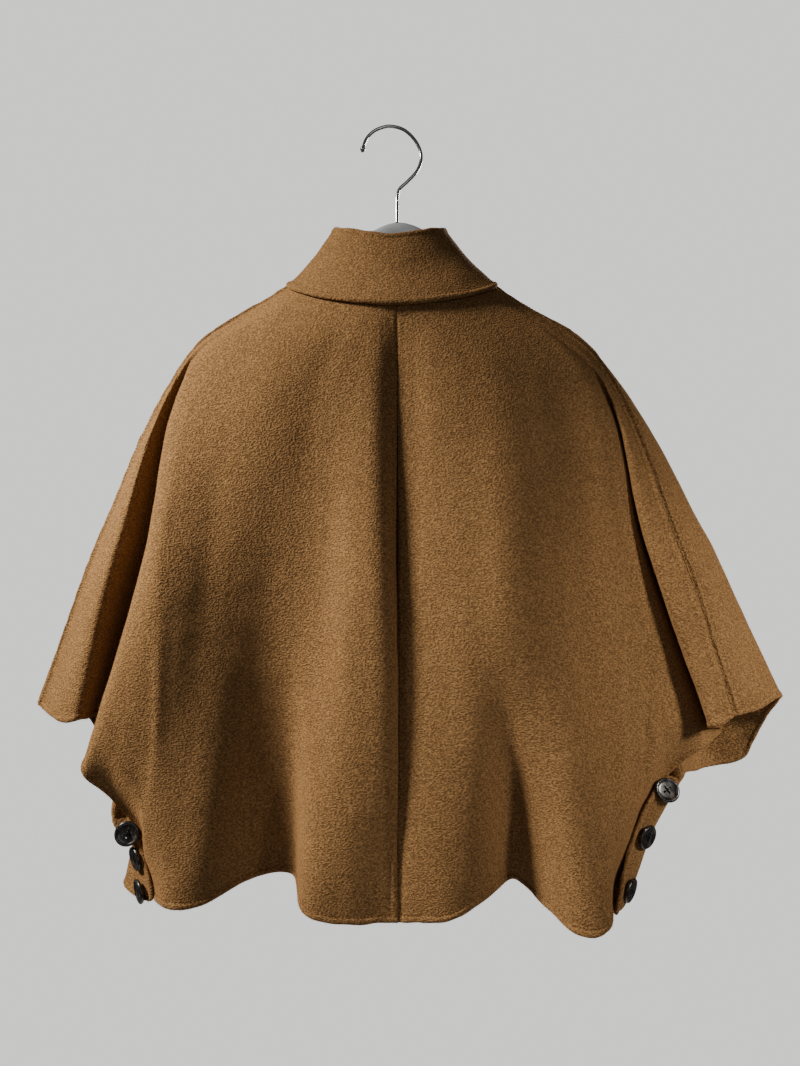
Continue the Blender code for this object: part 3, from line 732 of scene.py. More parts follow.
# %% [markdown]
# ## Fine lines over each piece
# The solids are coarse, and a felled edge is only 6 mm wide. The same surface
# is therefore drawn again in lines about 4 mm apart, with closer lines beside
# its edges, where the band and its groove lie. Subdividing the solid would
# round the folds off and put lines where nothing needs them.

# %% Lines across and down a piece
FINE = 4.1
EDGE_STEPS = (0.0, 0.5, 1.3, 2.6, 4.4, 5.6, 6.4, 7.2, 8.6, 10.6)
ROUGH_ACROSS = 12
ROUGH_DOWN = 121


def spaced(length, span):
    """Places from 0 to span, even but for the closer ones at both ends."""
    per_mm = span / length
    near = np.array(EDGE_STEPS) * per_mm
    inner = EDGE_STEPS[-1] + FINE
    count = max(int((length - 2 * inner) / FINE), 2)
    middle = np.linspace(inner * per_mm, span - inner * per_mm, count)
    return np.concatenate([near, middle, span - near[::-1]])


def lengths(points):
    """Lengths along the lines of a grid of points, from its first line on."""
    step = np.linalg.norm(np.diff(points, axis=0), axis=2)
    return np.concatenate([np.zeros((1, points.shape[1])), np.cumsum(step, axis=0)])


def grid_normals(points):
    """Unit directions square to a grid of points."""
    across = np.gradient(points, axis=0)
    down = np.gradient(points, axis=1)
    normal = np.cross(across, down)
    return normal / np.maximum(np.linalg.norm(normal, axis=2)[:, :, None], 1e-9)


class Sheet:
    """A piece's middle surface in fine lines, with its lengths and outward side."""

    def __init__(self, panel):
        last = len(panel.falls) - 1
        rough = panel.grid(np.linspace(0, last, ROUGH_ACROSS * last + 1),
                           np.linspace(0, 1, ROUGH_DOWN))
        across = lengths(rough)[-1].max()
        down = lengths(rough.swapaxes(0, 1))[-1].max()
        self.panel = panel
        self.places = spaced(across, last)
        self.shares = spaced(down, 1.0)
        self.points = panel.grid(self.places, self.shares)

    def measure(self):
        """Lengths from each edge, once the sewn edges have been held back."""
        self.from_first = lengths(self.points)
        self.to_last = self.from_first[-1][None, :] - self.from_first
        self.from_neck = lengths(self.points.swapaxes(0, 1)).T
        self.to_hem = self.from_neck[:, -1][:, None] - self.from_neck
        self.out = grid_normals(self.points) * self.panel.winding


panels = make_panels()
sheets = {name: Sheet(panel) for name, panel in panels.items()}
print("fine pieces:", ", ".join(sheets))

# %% [markdown]
# ## Room at the seams
# Two pieces meet at a seam and their walls must not cross. Where they meet at
# an angle, their thickness needs more room than a plain gap, as a mitred
# corner does. So each edge is held back by its share of the gap and the
# mitre, and the shift fades out over the next few lines.

# %% Hold the sewn edges back
CENTRE_GAP = 0.1
SEAM_REACH = 7
LEAST_FACING = -0.5
SEAMS = [("back_left", "back_right", 0, CENTRE_GAP),
         ("back_left", "front_left", -1, SEAM_GAP),
         ("back_right", "front_right", -1, SEAM_GAP)]


def hold_back(first, second, line, gap):
    """Moves two sheets' lines along a seam apart, each into its own piece."""
    inner = 1 if line == 0 else -2
    directions = []
    for sheet in (first, second):
        side = sheet.points[inner] - sheet.points[line]
        directions.append(side / np.linalg.norm(side, axis=1)[:, None])
    turned = np.array([np.interp(first.shares, second.shares, directions[1][:, axis])
                       for axis in range(3)]).T
    facing = np.clip(-(directions[0] * turned).sum(axis=1), LEAST_FACING, 1)
    shift = (gap + CLOTH * np.sqrt((1 - facing) / (1 + facing))) / 2
    for sheet, direction in zip((first, second), directions):
        amount = np.interp(sheet.shares, first.shares, shift)
        for step in range(SEAM_REACH):
            index = step if line == 0 else -1 - step
            fade = (1 - step / SEAM_REACH) ** 2
            sheet.points[index] += direction * amount[:, None] * fade


for one, other, line, gap in SEAMS:
    hold_back(sheets[one], sheets[other], line, gap)
for name, sheet in sheets.items():
    sheet.measure()
    print(name, sheet.points.shape[:2], "lines,", round(sheet.from_first[-1].max()),
          "by", round(sheet.from_neck[:, -1].max()), "mm")

# %% [markdown]
# ## Creases
# The fall lines give the large folds. Between them real cloth has softer
# ones, which a simulation would put wherever it liked. Each is stated here as
# a trough (depth below 0) or a ridge (above 0) along a line on a piece, from
# one place across and share down to another. Its width is how far it takes to
# fade to about a third.

# %% The creases
Crease = namedtuple("Crease", "piece start end depth width")
CREASES = [
    Crease("back_left", (3.0, 0.10), (3.1, 0.84), -6.0, 30),
    Crease("back_left", (1.4, 0.08), (1.2, 0.80), 4.4, 15),
    Crease("back_left", (0.5, 0.50), (0.4, 0.90), 2.4, 14),
    Crease("back_left", (6.1, 0.12), (6.3, 0.78), 4.5, 38),
    Crease("back_left", (5.0, 0.30), (4.8, 0.66), -1.5, 17),
    Crease("back_left", (7.4, 0.26), (6.9, 0.80), -1.4, 16),
    Crease("back_left", (9.4, 0.55), (7.3, 0.93), 1.6, 15),
    Crease("back_left", (15.6, 0.20), (16.2, 0.85), -1.5, 12),
    Crease("back_right", (1.2, 0.08), (1.2, 0.60), -1.4, 12),
    Crease("back_right", (3.4, 0.28), (3.7, 0.74), -1.2, 16),
    Crease("back_right", (4.7, 0.10), (5.0, 0.74), 4.2, 30),
    Crease("back_right", (7.9, 0.16), (7.6, 0.70), -3.0, 24),
    Crease("back_right", (7.6, 0.34), (7.0, 0.90), -1.5, 15),
    Crease("back_right", (9.6, 0.50), (8.2, 0.92), 1.8, 15),
    Crease("back_right", (10.9, 0.62), (8.9, 0.98), -1.6, 12),
    Crease("back_right", (12.1, 0.20), (12.1, 1.0), -2.2, 6),
    Crease("back_right", (13.6, 0.30), (13.8, 0.95), 1.2, 9),
    Crease("front_left", (2.4, 0.18), (2.6, 0.82), 1.6, 17),
    Crease("front_left", (4.4, 0.26), (4.1, 0.90), -1.7, 16),
    Crease("front_left", (6.3, 0.22), (6.6, 0.76), 1.4, 18),
    Crease("front_left", (12.6, 0.34), (12.2, 0.82), -1.4, 13),
    Crease("front_left", (15.0, 0.20), (14.8, 0.90), 1.3, 14),
    Crease("front_right", (3.4, 0.16), (3.6, 0.84), 1.5, 18),
    Crease("front_right", (5.3, 0.24), (5.0, 0.88), -1.7, 15),
    Crease("front_right", (7.0, 0.28), (7.3, 0.80), 1.3, 17),
    Crease("front_right", (12.9, 0.36), (13.3, 0.90), -1.5, 14),
    Crease("front_right", (15.2, 0.24), (15.6, 0.80), 1.3, 13),
]
FADE_PAST = 0.12
FADE_POWER = 0.8


def crease_relief(sheet, crease):
    """How far a crease moves each point of a piece, in millimetres."""
    along = (sheet.shares - crease.start[1]) / (crease.end[1] - crease.start[1])
    places = crease.start[0] + np.clip(along, 0, 1) * (crease.end[0] - crease.start[0])
    lines = np.array([np.interp(place, sheet.places, sheet.from_first[:, column])
                      for column, place in enumerate(places)])
    distance = sheet.from_first - lines[None, :]
    inside = np.clip((along + FADE_PAST) / (1 + 2 * FADE_PAST), 0, 1)
    fade_ends = np.sin(np.pi * inside) ** FADE_POWER
    return crease.depth * fade_ends[None, :] * np.exp(-(distance / crease.width) ** 2)


print("creases:", len(CREASES))

# %% [markdown]
# ## Unevenness
# No cloth is quite even. A smooth noise moves the faces by up to a millimetre
# over a hand's width, and makes the hem waver as a pressed and worn edge
# does. The neck, the seams and the hem are held, because stitches hold them.
# The slit's edges are let go below its top, so its two sides can part.

# %% Place the creases
SLIT_TOP = 455.0
SLIT_OPENS_OVER = 60.0
SEAM_HOLD = 18.0
NECK_HOLD = 30.0
HEM_HOLD = 40.0
HEM_SHARE = 0.25
WANDER_STEP = (17.3, 5.1, 29.7)
# Height, size and seed of each layer of unevenness on the faces
UNEVEN = [(1.1, 85.0, 0), (0.45, 26.0, 4)]
WAVER, WAVER_SIZE, WAVER_SEED = 1.3, 17.0, 20
WAVER_REACH = 16.0
WAVER_HOLD = 10.0


def wander(points, size, seed):
    """Smooth uneven values, about -1 to 1, over a grid of points."""
    shift = Vector([seed * step for step in WANDER_STEP])
    rows, columns = points.shape[:2]
    values = [noise.noise(Vector(point / size) + shift) for point in points.reshape(-1, 3)]
    return np.array(values).reshape(rows, columns)


def share_of(distance, reach):
    """0 at an edge, rising to 1 at the reach and beyond."""
    return np.clip(distance / reach, 0, 1)


for number, (name, sheet) in enumerate(sheets.items()):
    relief = sum(crease_relief(sheet, c) for c in CREASES if c.piece == name)
    for height, size, seed in UNEVEN:
        relief = relief + height * wander(sheet.points, size, number + seed)
    opened = share_of(-sheet.points[:, :, 2] - SLIT_TOP, SLIT_OPENS_OVER)
    opened = SEAM_HOLD * opened if name.startswith("back") else 0
    edge = np.minimum(np.maximum(sheet.from_first, opened), sheet.to_last)
    hold = share_of(edge, SEAM_HOLD) * share_of(sheet.from_neck, NECK_HOLD)
    hold *= np.clip(HEM_SHARE + sheet.to_hem / HEM_HOLD, 0, 1)
    down = np.gradient(sheet.points, axis=1)
    down /= np.linalg.norm(down, axis=2)[:, :, None]
    waver = WAVER * wander(sheet.points, WAVER_SIZE, number + WAVER_SEED)
    waver *= np.clip(1 - sheet.to_hem / WAVER_REACH, 0, 1) * share_of(edge, WAVER_HOLD)
    moved = (relief * hold)[:, :, None] * sheet.out + waver[:, :, None] * down
    sheet.points = sheet.points + moved
    sheet.out = grid_normals(sheet.points) * sheet.panel.winding
    print(name, "creases from", round(float(relief.min()), 1), "to",
          round(float(relief.max()), 1), "mm")

# %% [markdown]
# ## Felled edges and seams
# Double-faced cloth needs no lining: its two layers are split along an edge,
# turned in and stitched together by hand. That leaves a firm band 6 mm wide,
# thicker than the cloth, with a groove where the stitches pull. The overarm
# seams are felled on both sides, so a ridge runs on each side of them, and
# the centre back seam is pressed flat. A bump map would show none of it in
# outline, so the band is real height: a flat step plus rounded ridges, each
# with a height, a place and a width.

# %% Profiles of the edges
BAND = 6.0
ROUNDING = 1.5
EDGE_LEFT = 0.32
Step = namedtuple("Step", "height ends slope")
Ridge = namedtuple("Ridge", "height place width")
GROOVE_PLACE = BAND + 1.2
FELLED = (Step(0.62, BAND + 0.6, 1.4),
          [Ridge(0.42, 3.2, 1.8), Ridge(-0.70, GROOVE_PLACE, 1.1)])
OVERARM = (Step(0.35, 7.0, 2.0),
           [Ridge(2.3, 4.8, 2.2), Ridge(-0.75, 0.0, 1.6), Ridge(-0.6, 9.4, 1.6)])
CENTRE_SEAM = (Step(0.0, 0.0, 1.0), [Ridge(0.22, 3.6, 1.8), Ridge(-0.30, 0.0, 0.9)])


def profile(distance, kind):
    """Extra height of each face at a distance from an edge, in millimetres."""
    step, ridges = kind
    height = step.height * np.clip((step.ends - distance) / step.slope, 0, 1)
    for ridge in ridges:
        height = height + ridge.height * np.exp(
            -((distance - ridge.place) / ridge.width) ** 2)
    return height


def rounded(distance):
    """Share of the cloth's thickness left by a free edge."""
    inside = np.clip(1 - distance / ROUNDING, 0, 1)
    return np.maximum(np.sqrt(1 - inside ** 2), EDGE_LEFT)


print("a felled edge is", round(float(profile(3.2, FELLED)), 2), "mm prouder")

# %% Thickness at each point
BAND_UNEVEN, BAND_UNEVEN_SIZE, BAND_UNEVEN_SEED = 0.34, 9.0, 31
SLIT_EDGE_BEGINS = 12.0
SLIT_EDGE_SHARE = 0.5
SEAM_WIDTH = 12.0
FAR = 99.0


def back_edges(sheet, relief):
    """A back's relief with its centre seam, and how far its slit's free edge is."""
    below = share_of(-sheet.points[:, :, 2] - SLIT_TOP, SLIT_EDGE_BEGINS)
    sewn = profile(sheet.from_first, CENTRE_SEAM)
    open_edge = SLIT_EDGE_SHARE * profile(sheet.from_first, FELLED)
    side = sewn * (1 - below) + open_edge * below
    stronger = (sheet.from_first < SEAM_WIDTH) & (np.abs(side) > np.abs(relief))
    return np.where(stronger, side, relief), np.where(below > 0.5, sheet.from_first, FAR)


def half_thickness(name, sheet):
    """Half thickness of the cloth at each point, with its bands and ridges."""
    uneven = 1 + BAND_UNEVEN * wander(sheet.points, BAND_UNEVEN_SIZE, BAND_UNEVEN_SEED)
    relief = np.maximum(profile(sheet.to_hem, FELLED), profile(sheet.to_last, OVERARM))
    free = sheet.to_hem
    if name.startswith("front"):
        relief = np.maximum(relief, profile(sheet.from_first, FELLED))
        free = np.minimum(free, sheet.from_first)
    else:
        relief, slit = back_edges(sheet, relief)
        free = np.minimum(free, slit)
    return (CLOTH / 2 + relief * uneven) * rounded(free)


halves = {name: half_thickness(name, sheet) for name, sheet in sheets.items()}
for name, half in halves.items():
    print(name, "half thickness", round(float(half.min()), 2), "to",
          round(float(half.max()), 2), "mm")

# %% [markdown]
# ## Shells of cloth
# Cloth has two faces and a rim, so each piece is one closed shell. Solidify
# could give it, but then every place would be equally thick. Here the outer
# and the inner face are both drawn from the middle surface, moved out and in
# by the half thickness, and the rim joins them.

# %% Build the four panels
def link(thing):
    """Puts an object in the scene."""
    bpy.context.scene.collection.objects.link(thing)
    return thing


def grid_quads(rows, columns):
    """Point numbers of a grid, and its four-sided faces."""
    index = np.arange(rows * columns).reshape(rows, columns)
    quads = np.stack([index[:-1, :-1], index[1:, :-1], index[1:, 1:], index[:-1, 1:]],
                     axis=-1).reshape(-1, 4)
    return index, quads


def shell_mesh(name, outer, inner):
    """A closed mesh between two grids of points, in millimetres, outer first."""
    index, quads = grid_quads(*outer.shape[:2])
    count = index.size
    ring = np.concatenate([index[:-1, 0], index[-1, :-1],
                           index[:0:-1, -1], index[0, :0:-1]])
    following = np.roll(ring, -1)
    rim = np.stack([following, ring, ring + count, following + count], axis=-1)
    shell = np.concatenate([quads, quads[:, ::-1] + count, rim])
    points = np.concatenate([outer.reshape(-1, 3), inner.reshape(-1, 3)]) * MM
    mesh = bpy.data.meshes.new(name)
    mesh.from_pydata(points.tolist(), [], shell.tolist())
    work = bmesh.new()
    work.from_mesh(mesh)
    bmesh.ops.recalc_face_normals(work, faces=work.faces)
    if work.calc_volume(signed=True) < 0:
        bmesh.ops.reverse_faces(work, faces=work.faces)
    work.to_mesh(mesh)
    work.free()
    mesh.shade_smooth()
    return mesh


def add_piece(name, mesh, *materials):
    """A piece in the scene that rides on the cape's one body."""
    piece = link(bpy.data.objects.new(name, mesh))
    for material in materials:
        piece.data.materials.append(material)
    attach(piece, "root")
    return piece


pieces, faces, free_edge = {}, {}, {}
for name, sheet in sheets.items():
    free_edge[name] = sheet.to_hem
    if name.startswith("front"):
        free_edge[name] = np.minimum(sheet.to_hem, sheet.from_first)
    rise = sheet.out * halves[name][:, :, None]
    faces[name] = sheet.points + rise
    mesh = shell_mesh("cape_" + name, faces[name], sheet.points - rise)
    pieces[name] = add_piece("cape_" + name, mesh, wool)
    print(name, len(mesh.polygons), "faces")

# %% [markdown]
# ## Collar
# The funnel collar is one curved band round the neck. Its lower edge laps on
# to the shoulders as a firm ridge, its ends lap at the centre front, and its
# top sags a little at the back, where nothing holds it. A tube would be
# simpler, but its lower edge would not lie on the shoulders. So each upright
# line is taken from the panel below it, as in the solids.

# %% Draw the collar's lines
COLLAR_LINES = 171
COLLAR_TOP_SAG = 6.5
SAG_HALF_WIDTH = 34.0
SAG_REACH = 50.0
SAG_POWER = 1.5
# Height, size and seed of the unevenness of its face, and of its top edge
COLLAR_UNEVEN = [(0.9, 42.0, 11), (0.35, 15.0, 12)]
COLLAR_EDGE_UNEVEN = (1.1, 13.0, 14)
COLLAR_EDGE_REACH = 10.0
COLLAR_HOLD = 25.0
COLLAR_TOP_HOLD = 8.0
COLLAR_TOP_SHARE = 0.3


def fine_collar():
    """The collar's middle surface, in lines from its lower edge to its top."""
    reach = 180 + FRONT_LAP_ANGLE - COLLAR_SHORTER
    angles = np.linspace(-reach, reach, COLLAR_LINES)
    rough = np.array([collar_line(panels, angle, reach) for angle in angles])
    shares = spaced(lengths(rough.swapaxes(0, 1))[-1].max(), 1.0)
    return smooth(rough.swapaxes(0, 1), COLLAR_PLACES, shares).swapaxes(0, 1)


collar_points = fine_collar()
collar_out_side = grid_normals(collar_points)
from_middle = collar_points - np.array([COLLAR_TOP_CENTRE_X, 0, 0])
collar_out_side *= np.sign((from_middle * collar_out_side)[:, :, :2].sum())
up = lengths(collar_points.swapaxes(0, 1)).T
to_top = up[:, -1][:, None] - up
along = lengths(collar_points)
from_end = np.minimum(along, along[-1] - along)
print("collar", round(float(along[-1].max())), "mm round its lower edge")

# %% Let the collar sag and build it
COLLAR_BAND_UNEVEN, COLLAR_BAND_SIZE, COLLAR_BAND_SEED = 0.2, 8.0, 13
LOWER_EDGE_SHARE = 1.25
TOP_EDGE_SHARE = 0.8

sag = sum(height * wander(collar_points, size, seed)
          for height, size, seed in COLLAR_UNEVEN)
sag *= (share_of(up, COLLAR_HOLD)
        * np.clip(to_top / COLLAR_TOP_HOLD + COLLAR_TOP_SHARE, 0, 1))
collar_points = collar_points + sag[:, :, None] * collar_out_side
at_back = (np.exp(-(collar_points[:, :, 0] / SAG_HALF_WIDTH) ** 2)
           * (collar_points[:, :, 1] < 0))
near_top = np.clip(1 - to_top / SAG_REACH, 0, 1) ** SAG_POWER
collar_points[:, :, 2] -= COLLAR_TOP_SAG * at_back * near_top
height, size, seed = COLLAR_EDGE_UNEVEN
collar_points[:, :, 2] += height * wander(collar_points, size, seed) \
    * np.clip(1 - to_top / COLLAR_EDGE_REACH, 0, 1)

uneven = 1 + COLLAR_BAND_UNEVEN * wander(collar_points, COLLAR_BAND_SIZE, COLLAR_BAND_SEED)
relief = np.maximum(LOWER_EDGE_SHARE * profile(up, FELLED),
                    np.maximum(TOP_EDGE_SHARE * profile(to_top, FELLED),
                               profile(from_end, FELLED)))
half = (COLLAR_CLOTH / 2 + relief * uneven) \
    * rounded(np.minimum(np.minimum(up, to_top), from_end))
half = half[:, :, None]
faces["collar"] = collar_points + collar_out_side * half
free_edge["collar"] = np.minimum(to_top, from_end)
inner = collar_points - collar_out_side * np.minimum(half, COLLAR_CLOTH / 2)
collar_mesh = shell_mesh("cape_collar", faces["collar"], inner)
pieces["collar"] = add_piece("cape_collar", collar_mesh, wool)
print("collar", len(collar_mesh.polygons), "faces")

# %% [markdown]
# ## Buttons
# A horn button is turned on a lathe and drilled: a raised rim, a dished face,
# four holes. A plain cylinder would lose the rim's thin light. So its section
# is spun by loops, and a Boolean drills the holes. Each button stands where
# its solid stands and faces the same way, which is read from the solid's own
# points: they spread least along the button's axis.

# %% Find where each button stands
def button_place(node):
    """Centre of a button's back, the way it faces, and a direction across it."""
    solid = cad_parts[node]
    points = np.array([solid.matrix_world @ v.co for v in solid.data.vertices])
    middle = points.mean(axis=0)
    _, _, turn = np.linalg.svd(points - middle)
    out = turn[2]
    body = np.array([0.0, 0.0, middle[2]])
    if out @ (middle - body) < 0:
        out = -out
    rise = (points - middle) @ out
    return middle + out * rise.min(), out, turn[0]


button_nodes = sorted(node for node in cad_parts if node.startswith("button"))
print("buttons:", ", ".join(button_nodes))

# %% Turn a button
BUTTON_SIDES = 64
# Radius and height along the button's section, from its back to its face
BUTTON_SECTION = [(0.0, 0.0), (9.2, 0.0), (11.4, 0.5), (12.3, 1.4), (12.5, 2.2),
    (12.3, 3.0),
                  (11.7, 3.7), (10.9, 4.0), (10.1, 3.85), (9.5, 3.3), (8.8, 2.95),
                  (7.0, 2.75), (0.0, 2.65)]


def finished(work, name):
    """A mesh from a bmesh, its faces turned outward."""
    bmesh.ops.recalc_face_normals(work, faces=work.faces)
    mesh = bpy.data.meshes.new(name)
    work.to_mesh(mesh)
    work.free()
    return mesh


def join_rings(work, low, high):
    """Faces between two rings of points. A ring of one point is a tip."""
    for k in range(max(len(low), len(high))):
        corners = [low[k % len(low)], low[(k + 1) % len(low)],
                   high[(k + 1) % len(high)], high[k % len(high)]]
        work.faces.new(list(dict.fromkeys(corners)))


def button_mesh():
    """A turned button without holes, standing on its back at the origin."""
    work = bmesh.new()
    rings = []
    for radius, height in BUTTON_SECTION:
        count = 1 if radius == 0 else BUTTON_SIDES
        turns = [2 * math.pi * k / BUTTON_SIDES for k in range(count)]
        rings.append([work.verts.new((radius * MM * math.cos(turn),
                                      radius * MM * math.sin(turn), height * MM))
                      for turn in turns])
    for low, high in zip(rings, rings[1:]):
        join_rings(work, low, high)
    return finished(work, "button")


blank_mesh = button_mesh()
print("button blank", len(blank_mesh.polygons), "faces")

# %% Drill its holes
HOLE_PLACE = 2.6
HOLE_RADIUS = 1.1
HOLE_SIDES = 20
DRILL_LENGTH = 12.0
SHARP_TURN = 38


def drill(mesh):
    """The button with its four holes cut through."""
    blank = link(bpy.data.objects.new("button_blank", mesh))
    drills = bmesh.new()
    for x in (-HOLE_PLACE, HOLE_PLACE):
        for y in (-HOLE_PLACE, HOLE_PLACE):
            made = bmesh.ops.create_cone(drills, cap_ends=True, segments=HOLE_SIDES,
                                         radius1=HOLE_RADIUS * MM, radius2=HOLE_RADIUS * MM,
                                         depth=DRILL_LENGTH * MM)
            bmesh.ops.translate(drills, verts=made["verts"], vec=(x * MM, y * MM, 0))
    drill_mesh = bpy.data.meshes.new("drills")
    drills.to_mesh(drill_mesh)
    drills.free()
    cutter = link(bpy.data.objects.new("drills", drill_mesh))
    cut = blank.modifiers.new("Holes", "BOOLEAN")
    cut.operation = "DIFFERENCE"
    cut.object = cutter
    cut.solver = "EXACT"
    graph = bpy.context.evaluated_depsgraph_get()
    drilled = bpy.data.meshes.new_from_object(blank.evaluated_get(graph))
    bpy.data.objects.remove(blank)
    bpy.data.objects.remove(cutter)
    drilled.shade_smooth()
    drilled.set_sharp_from_angle(angle=math.radians(SHARP_TURN))
    return drilled


drilled = drill(blank_mesh)
print("drilled button", len(drilled.polygons), "faces")

# %% [markdown]
# ## Button thread
# Each button is sewn on with two crossed stitches of three strands. Curves
# with a bevel would do as well. Short tubes through seven points keep the
# face count low and end down in the holes.

# %% Make the crossed thread
STRANDS = (-0.45, 0.0, 0.45)
STRAND_RADIUS = 0.28
STRAND_SIDES = 8
STRAND_SLANT = 0.5
# Place along a stitch, its height, and how much higher the upper stitch lies
STITCH_PATH = [(-HOLE_PLACE, 1.0, 0.0), (-HOLE_PLACE, 2.7, 0.0), (-1.6, 3.35, 0.25),
               (0.0, 3.5, 0.35), (1.6, 3.35, 0.25), (HOLE_PLACE, 2.7, 0.0),
               (HOLE_PLACE, 1.0, 0.0)]


def strand_ring(work, place, side):
    """A ring of points round a strand."""
    ring = []
    for k in range(STRAND_SIDES):
        turn = 2 * math.pi * k / STRAND_SIDES
        offset = math.cos(turn) * side + math.sin(turn) * Vector((0, 0, 1))
        ring.append(work.verts.new((place + STRAND_RADIUS * offset) * MM))
    return ring


def thread_mesh():
    """Two crossed stitches of three strands each, over the holes."""
    work = bmesh.new()
    for sign in (1, -1):
        side = Vector((1, -sign, 0)).normalized()
        for strand in STRANDS:
            shift = strand * STRAND_SLANT
            rings = []
            for along, height, lift in STITCH_PATH:
                place = Vector((along + shift, sign * (along - shift),
                                height + lift * (sign > 0)))
                rings.append(strand_ring(work, place, side))
            for low, high in zip(rings, rings[1:]):
                join_rings(work, low, high)
            work.faces.new(list(reversed(rings[0])))
            work.faces.new(rings[-1])
    mesh = finished(work, "button_thread")
    mesh.shade_smooth()
    return mesh


crossed = thread_mesh()
print("button thread", len(crossed.polygons), "faces")

# %% Place the six buttons
def placed(mesh, name, centre, out, across):
    """A copy of a mesh stood on a centre, facing out."""
    z = Vector(out).normalized()
    x = (Vector(across) - Vector(across).dot(z) * z).normalized()
    y = z.cross(x)
    copy = mesh.copy()
    copy.name = name
    for vertex in copy.vertices:
        vertex.co = Vector(centre) + vertex.co.x * x + vertex.co.y * y + vertex.co.z * z
    return copy


for node in button_nodes:
    site = button_place(node)
    button = add_piece("horn_" + node, placed(drilled, "horn_" + node, *site), horn)
    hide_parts(node)
    sewn_on = add_piece("thread_" + node, placed(crossed, "thread_" + node, *site),
                        button_thread)
print("buttons placed:", len(button_nodes))

# %% [markdown]
# ## Hanger
# The hanger is a plain arched bar of oval section, with the line that its
# mould leaves along the top and the underside, and a bent wire hook that goes
# into its top. Both could be bevelled curves. Rings of points are used
# instead, because the bar's section shrinks towards its rounded ends and the
# wire's tip is a ball.

# %% Sizes of the hanger
HANGER_HALF_THICKNESS = 4.5
HANGER_HALF_HEIGHT = 11.0
HANGER_END_HALF_HEIGHT = 7.0
HOOK_WIRE_RADIUS = 1.8
HOOK_TIP_RADIUS = 3.0

# Hanger's top edge and hook's centre line, as (x, z)
HANGER_TOP = [(-209, -243.8), (-160, -209.6), (-109, -176), (-60, -141), (-22, -113),
              (7, -103), (36, -112), (62, -134), (109, -176.4), (160, -211), (211, -246)]
HOOK_LINE = [(-32.6, -26), (-28.5, -13), (-20.5, -4), (-10, 0.8), (0, 1.8), (13, -2),
             (24, -12), (30.5, -24), (31.5, -35), (27, -47), (17, -58), (8.5, -66),
             (5.8, -74), (5.4, -86), (5.4, -102.4)]

print("hanger bar", HANGER_TOP[-1][0] - HANGER_TOP[0][0], "mm long")

# %% A tube through rings
TUBE_SHARP_TURN = 50


def tube_mesh(name, rings):
    """A closed tube through rings of points in millimetres, capped at both ends."""
    work = bmesh.new()
    made = [[work.verts.new(Vector(point) * MM) for point in ring] for ring in rings]
    for low, high in zip(made, made[1:]):
        join_rings(work, low, high)
    work.faces.new(list(reversed(made[0])))
    work.faces.new(made[-1])
    mesh = finished(work, name)
    mesh.shade_smooth()
    mesh.set_sharp_from_angle(angle=math.radians(TUBE_SHARP_TURN))
    return mesh


def line_through(stations, count):
    """A smooth line of (x, z) points, and a unit direction across it at each."""
    line = smooth(stations, np.linspace(0, 1, len(stations)), np.linspace(0, 1, count))
    across = []
    for index in range(count):
        ahead = line[min(index + 1, count - 1)] - line[max(index - 1, 0)]
        ahead = ahead / np.linalg.norm(ahead)
        across.append(np.array([ahead[1], -ahead[0]]))
    return line, across


print("a turn over", TUBE_SHARP_TURN, "degrees stays sharp")

# %% The bar and the hook
HANGER_RINGS = 141
HANGER_ROUND = 40
END_RINGS = 5
END_START = 0.6
MOULD_LINE = 0.25
HOOK_RINGS = 180
HOOK_ROUND = 24
TIP_FROM = 1.2
TIP_FLAT = 0.75


def hanger_rings():
    """Oval rings along the bar, from its top edge down, closing at its ends."""
    line, across = line_through(HANGER_TOP, HANGER_RINGS)
    rings = []
    for index, ((x, z), down) in enumerate(zip(line, across)):
        outward = abs(2 * index / (HANGER_RINGS - 1) - 1)
        half = HANGER_HALF_HEIGHT + (HANGER_END_HALF_HEIGHT - HANGER_HALF_HEIGHT) * outward
        from_end = min(index, HANGER_RINGS - 1 - index)
        end = math.sqrt(1 - (1 - min(from_end + END_START, END_RINGS) / END_RINGS) ** 2)
        ring = []
        for step in range(HANGER_ROUND):
            turn = 2 * math.pi * step / HANGER_ROUND
            seam = MOULD_LINE if step in (0, HANGER_ROUND // 2) else 0.0
            drop = half * (1 - end * math.cos(turn)) - seam * math.cos(turn)
            ring.append((x + down[0] * drop, end * HANGER_HALF_THICKNESS * math.sin(turn),
                         z + down[1] * drop))
        rings.append(ring)
    return rings


def hook_rings():
    """Round rings along the wire, with a small ball at its tip."""
    line, across = line_through(HOOK_LINE, HOOK_RINGS)
    run = np.concatenate([[0], np.cumsum(np.linalg.norm(np.diff(line, axis=0), axis=1))])
    rings = []
    for index, ((x, z), side) in enumerate(zip(line, across)):
        ball = HOOK_TIP_RADIUS ** 2 - (run[index] - HOOK_TIP_RADIUS) ** 2
        radius = HOOK_WIRE_RADIUS * (TIP_FLAT if index == 0 else 1)
        if run[index] > TIP_FROM and ball > 0:
            radius = max(HOOK_WIRE_RADIUS, math.sqrt(ball))
        turns = np.linspace(0, 2 * math.pi, HOOK_ROUND, endpoint=False)
        rings.append([(x + side[0] * radius * math.cos(turn), radius * math.sin(turn),
                       z + side[1] * radius * math.cos(turn)) for turn in turns])
    return rings


bar = add_piece("hanger_bar", tube_mesh("hanger_bar", hanger_rings()), hanger_plastic)
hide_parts("hanger_body")
hook = add_piece("hanger_wire_hook", tube_mesh("hanger_wire_hook", hook_rings()), chrome)
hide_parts("hanger_hook")
print("hanger", len(bar.data.polygons), "faces, hook", len(hook.data.polygons), "faces")

# %% [markdown]
# ## Stitches, nap and fuzz
# Small slanted stitches sit in the groove of every felled edge. Single hairs
# stand from the nap all over and thicken to a fuzz on the cut edges, which is
# what breaks the cape's outline in the photo. There are thousands of each and
# all are alike, so one stitch and one hair are drawn, and Geometry Nodes set
# copies of them along a line or over a face.

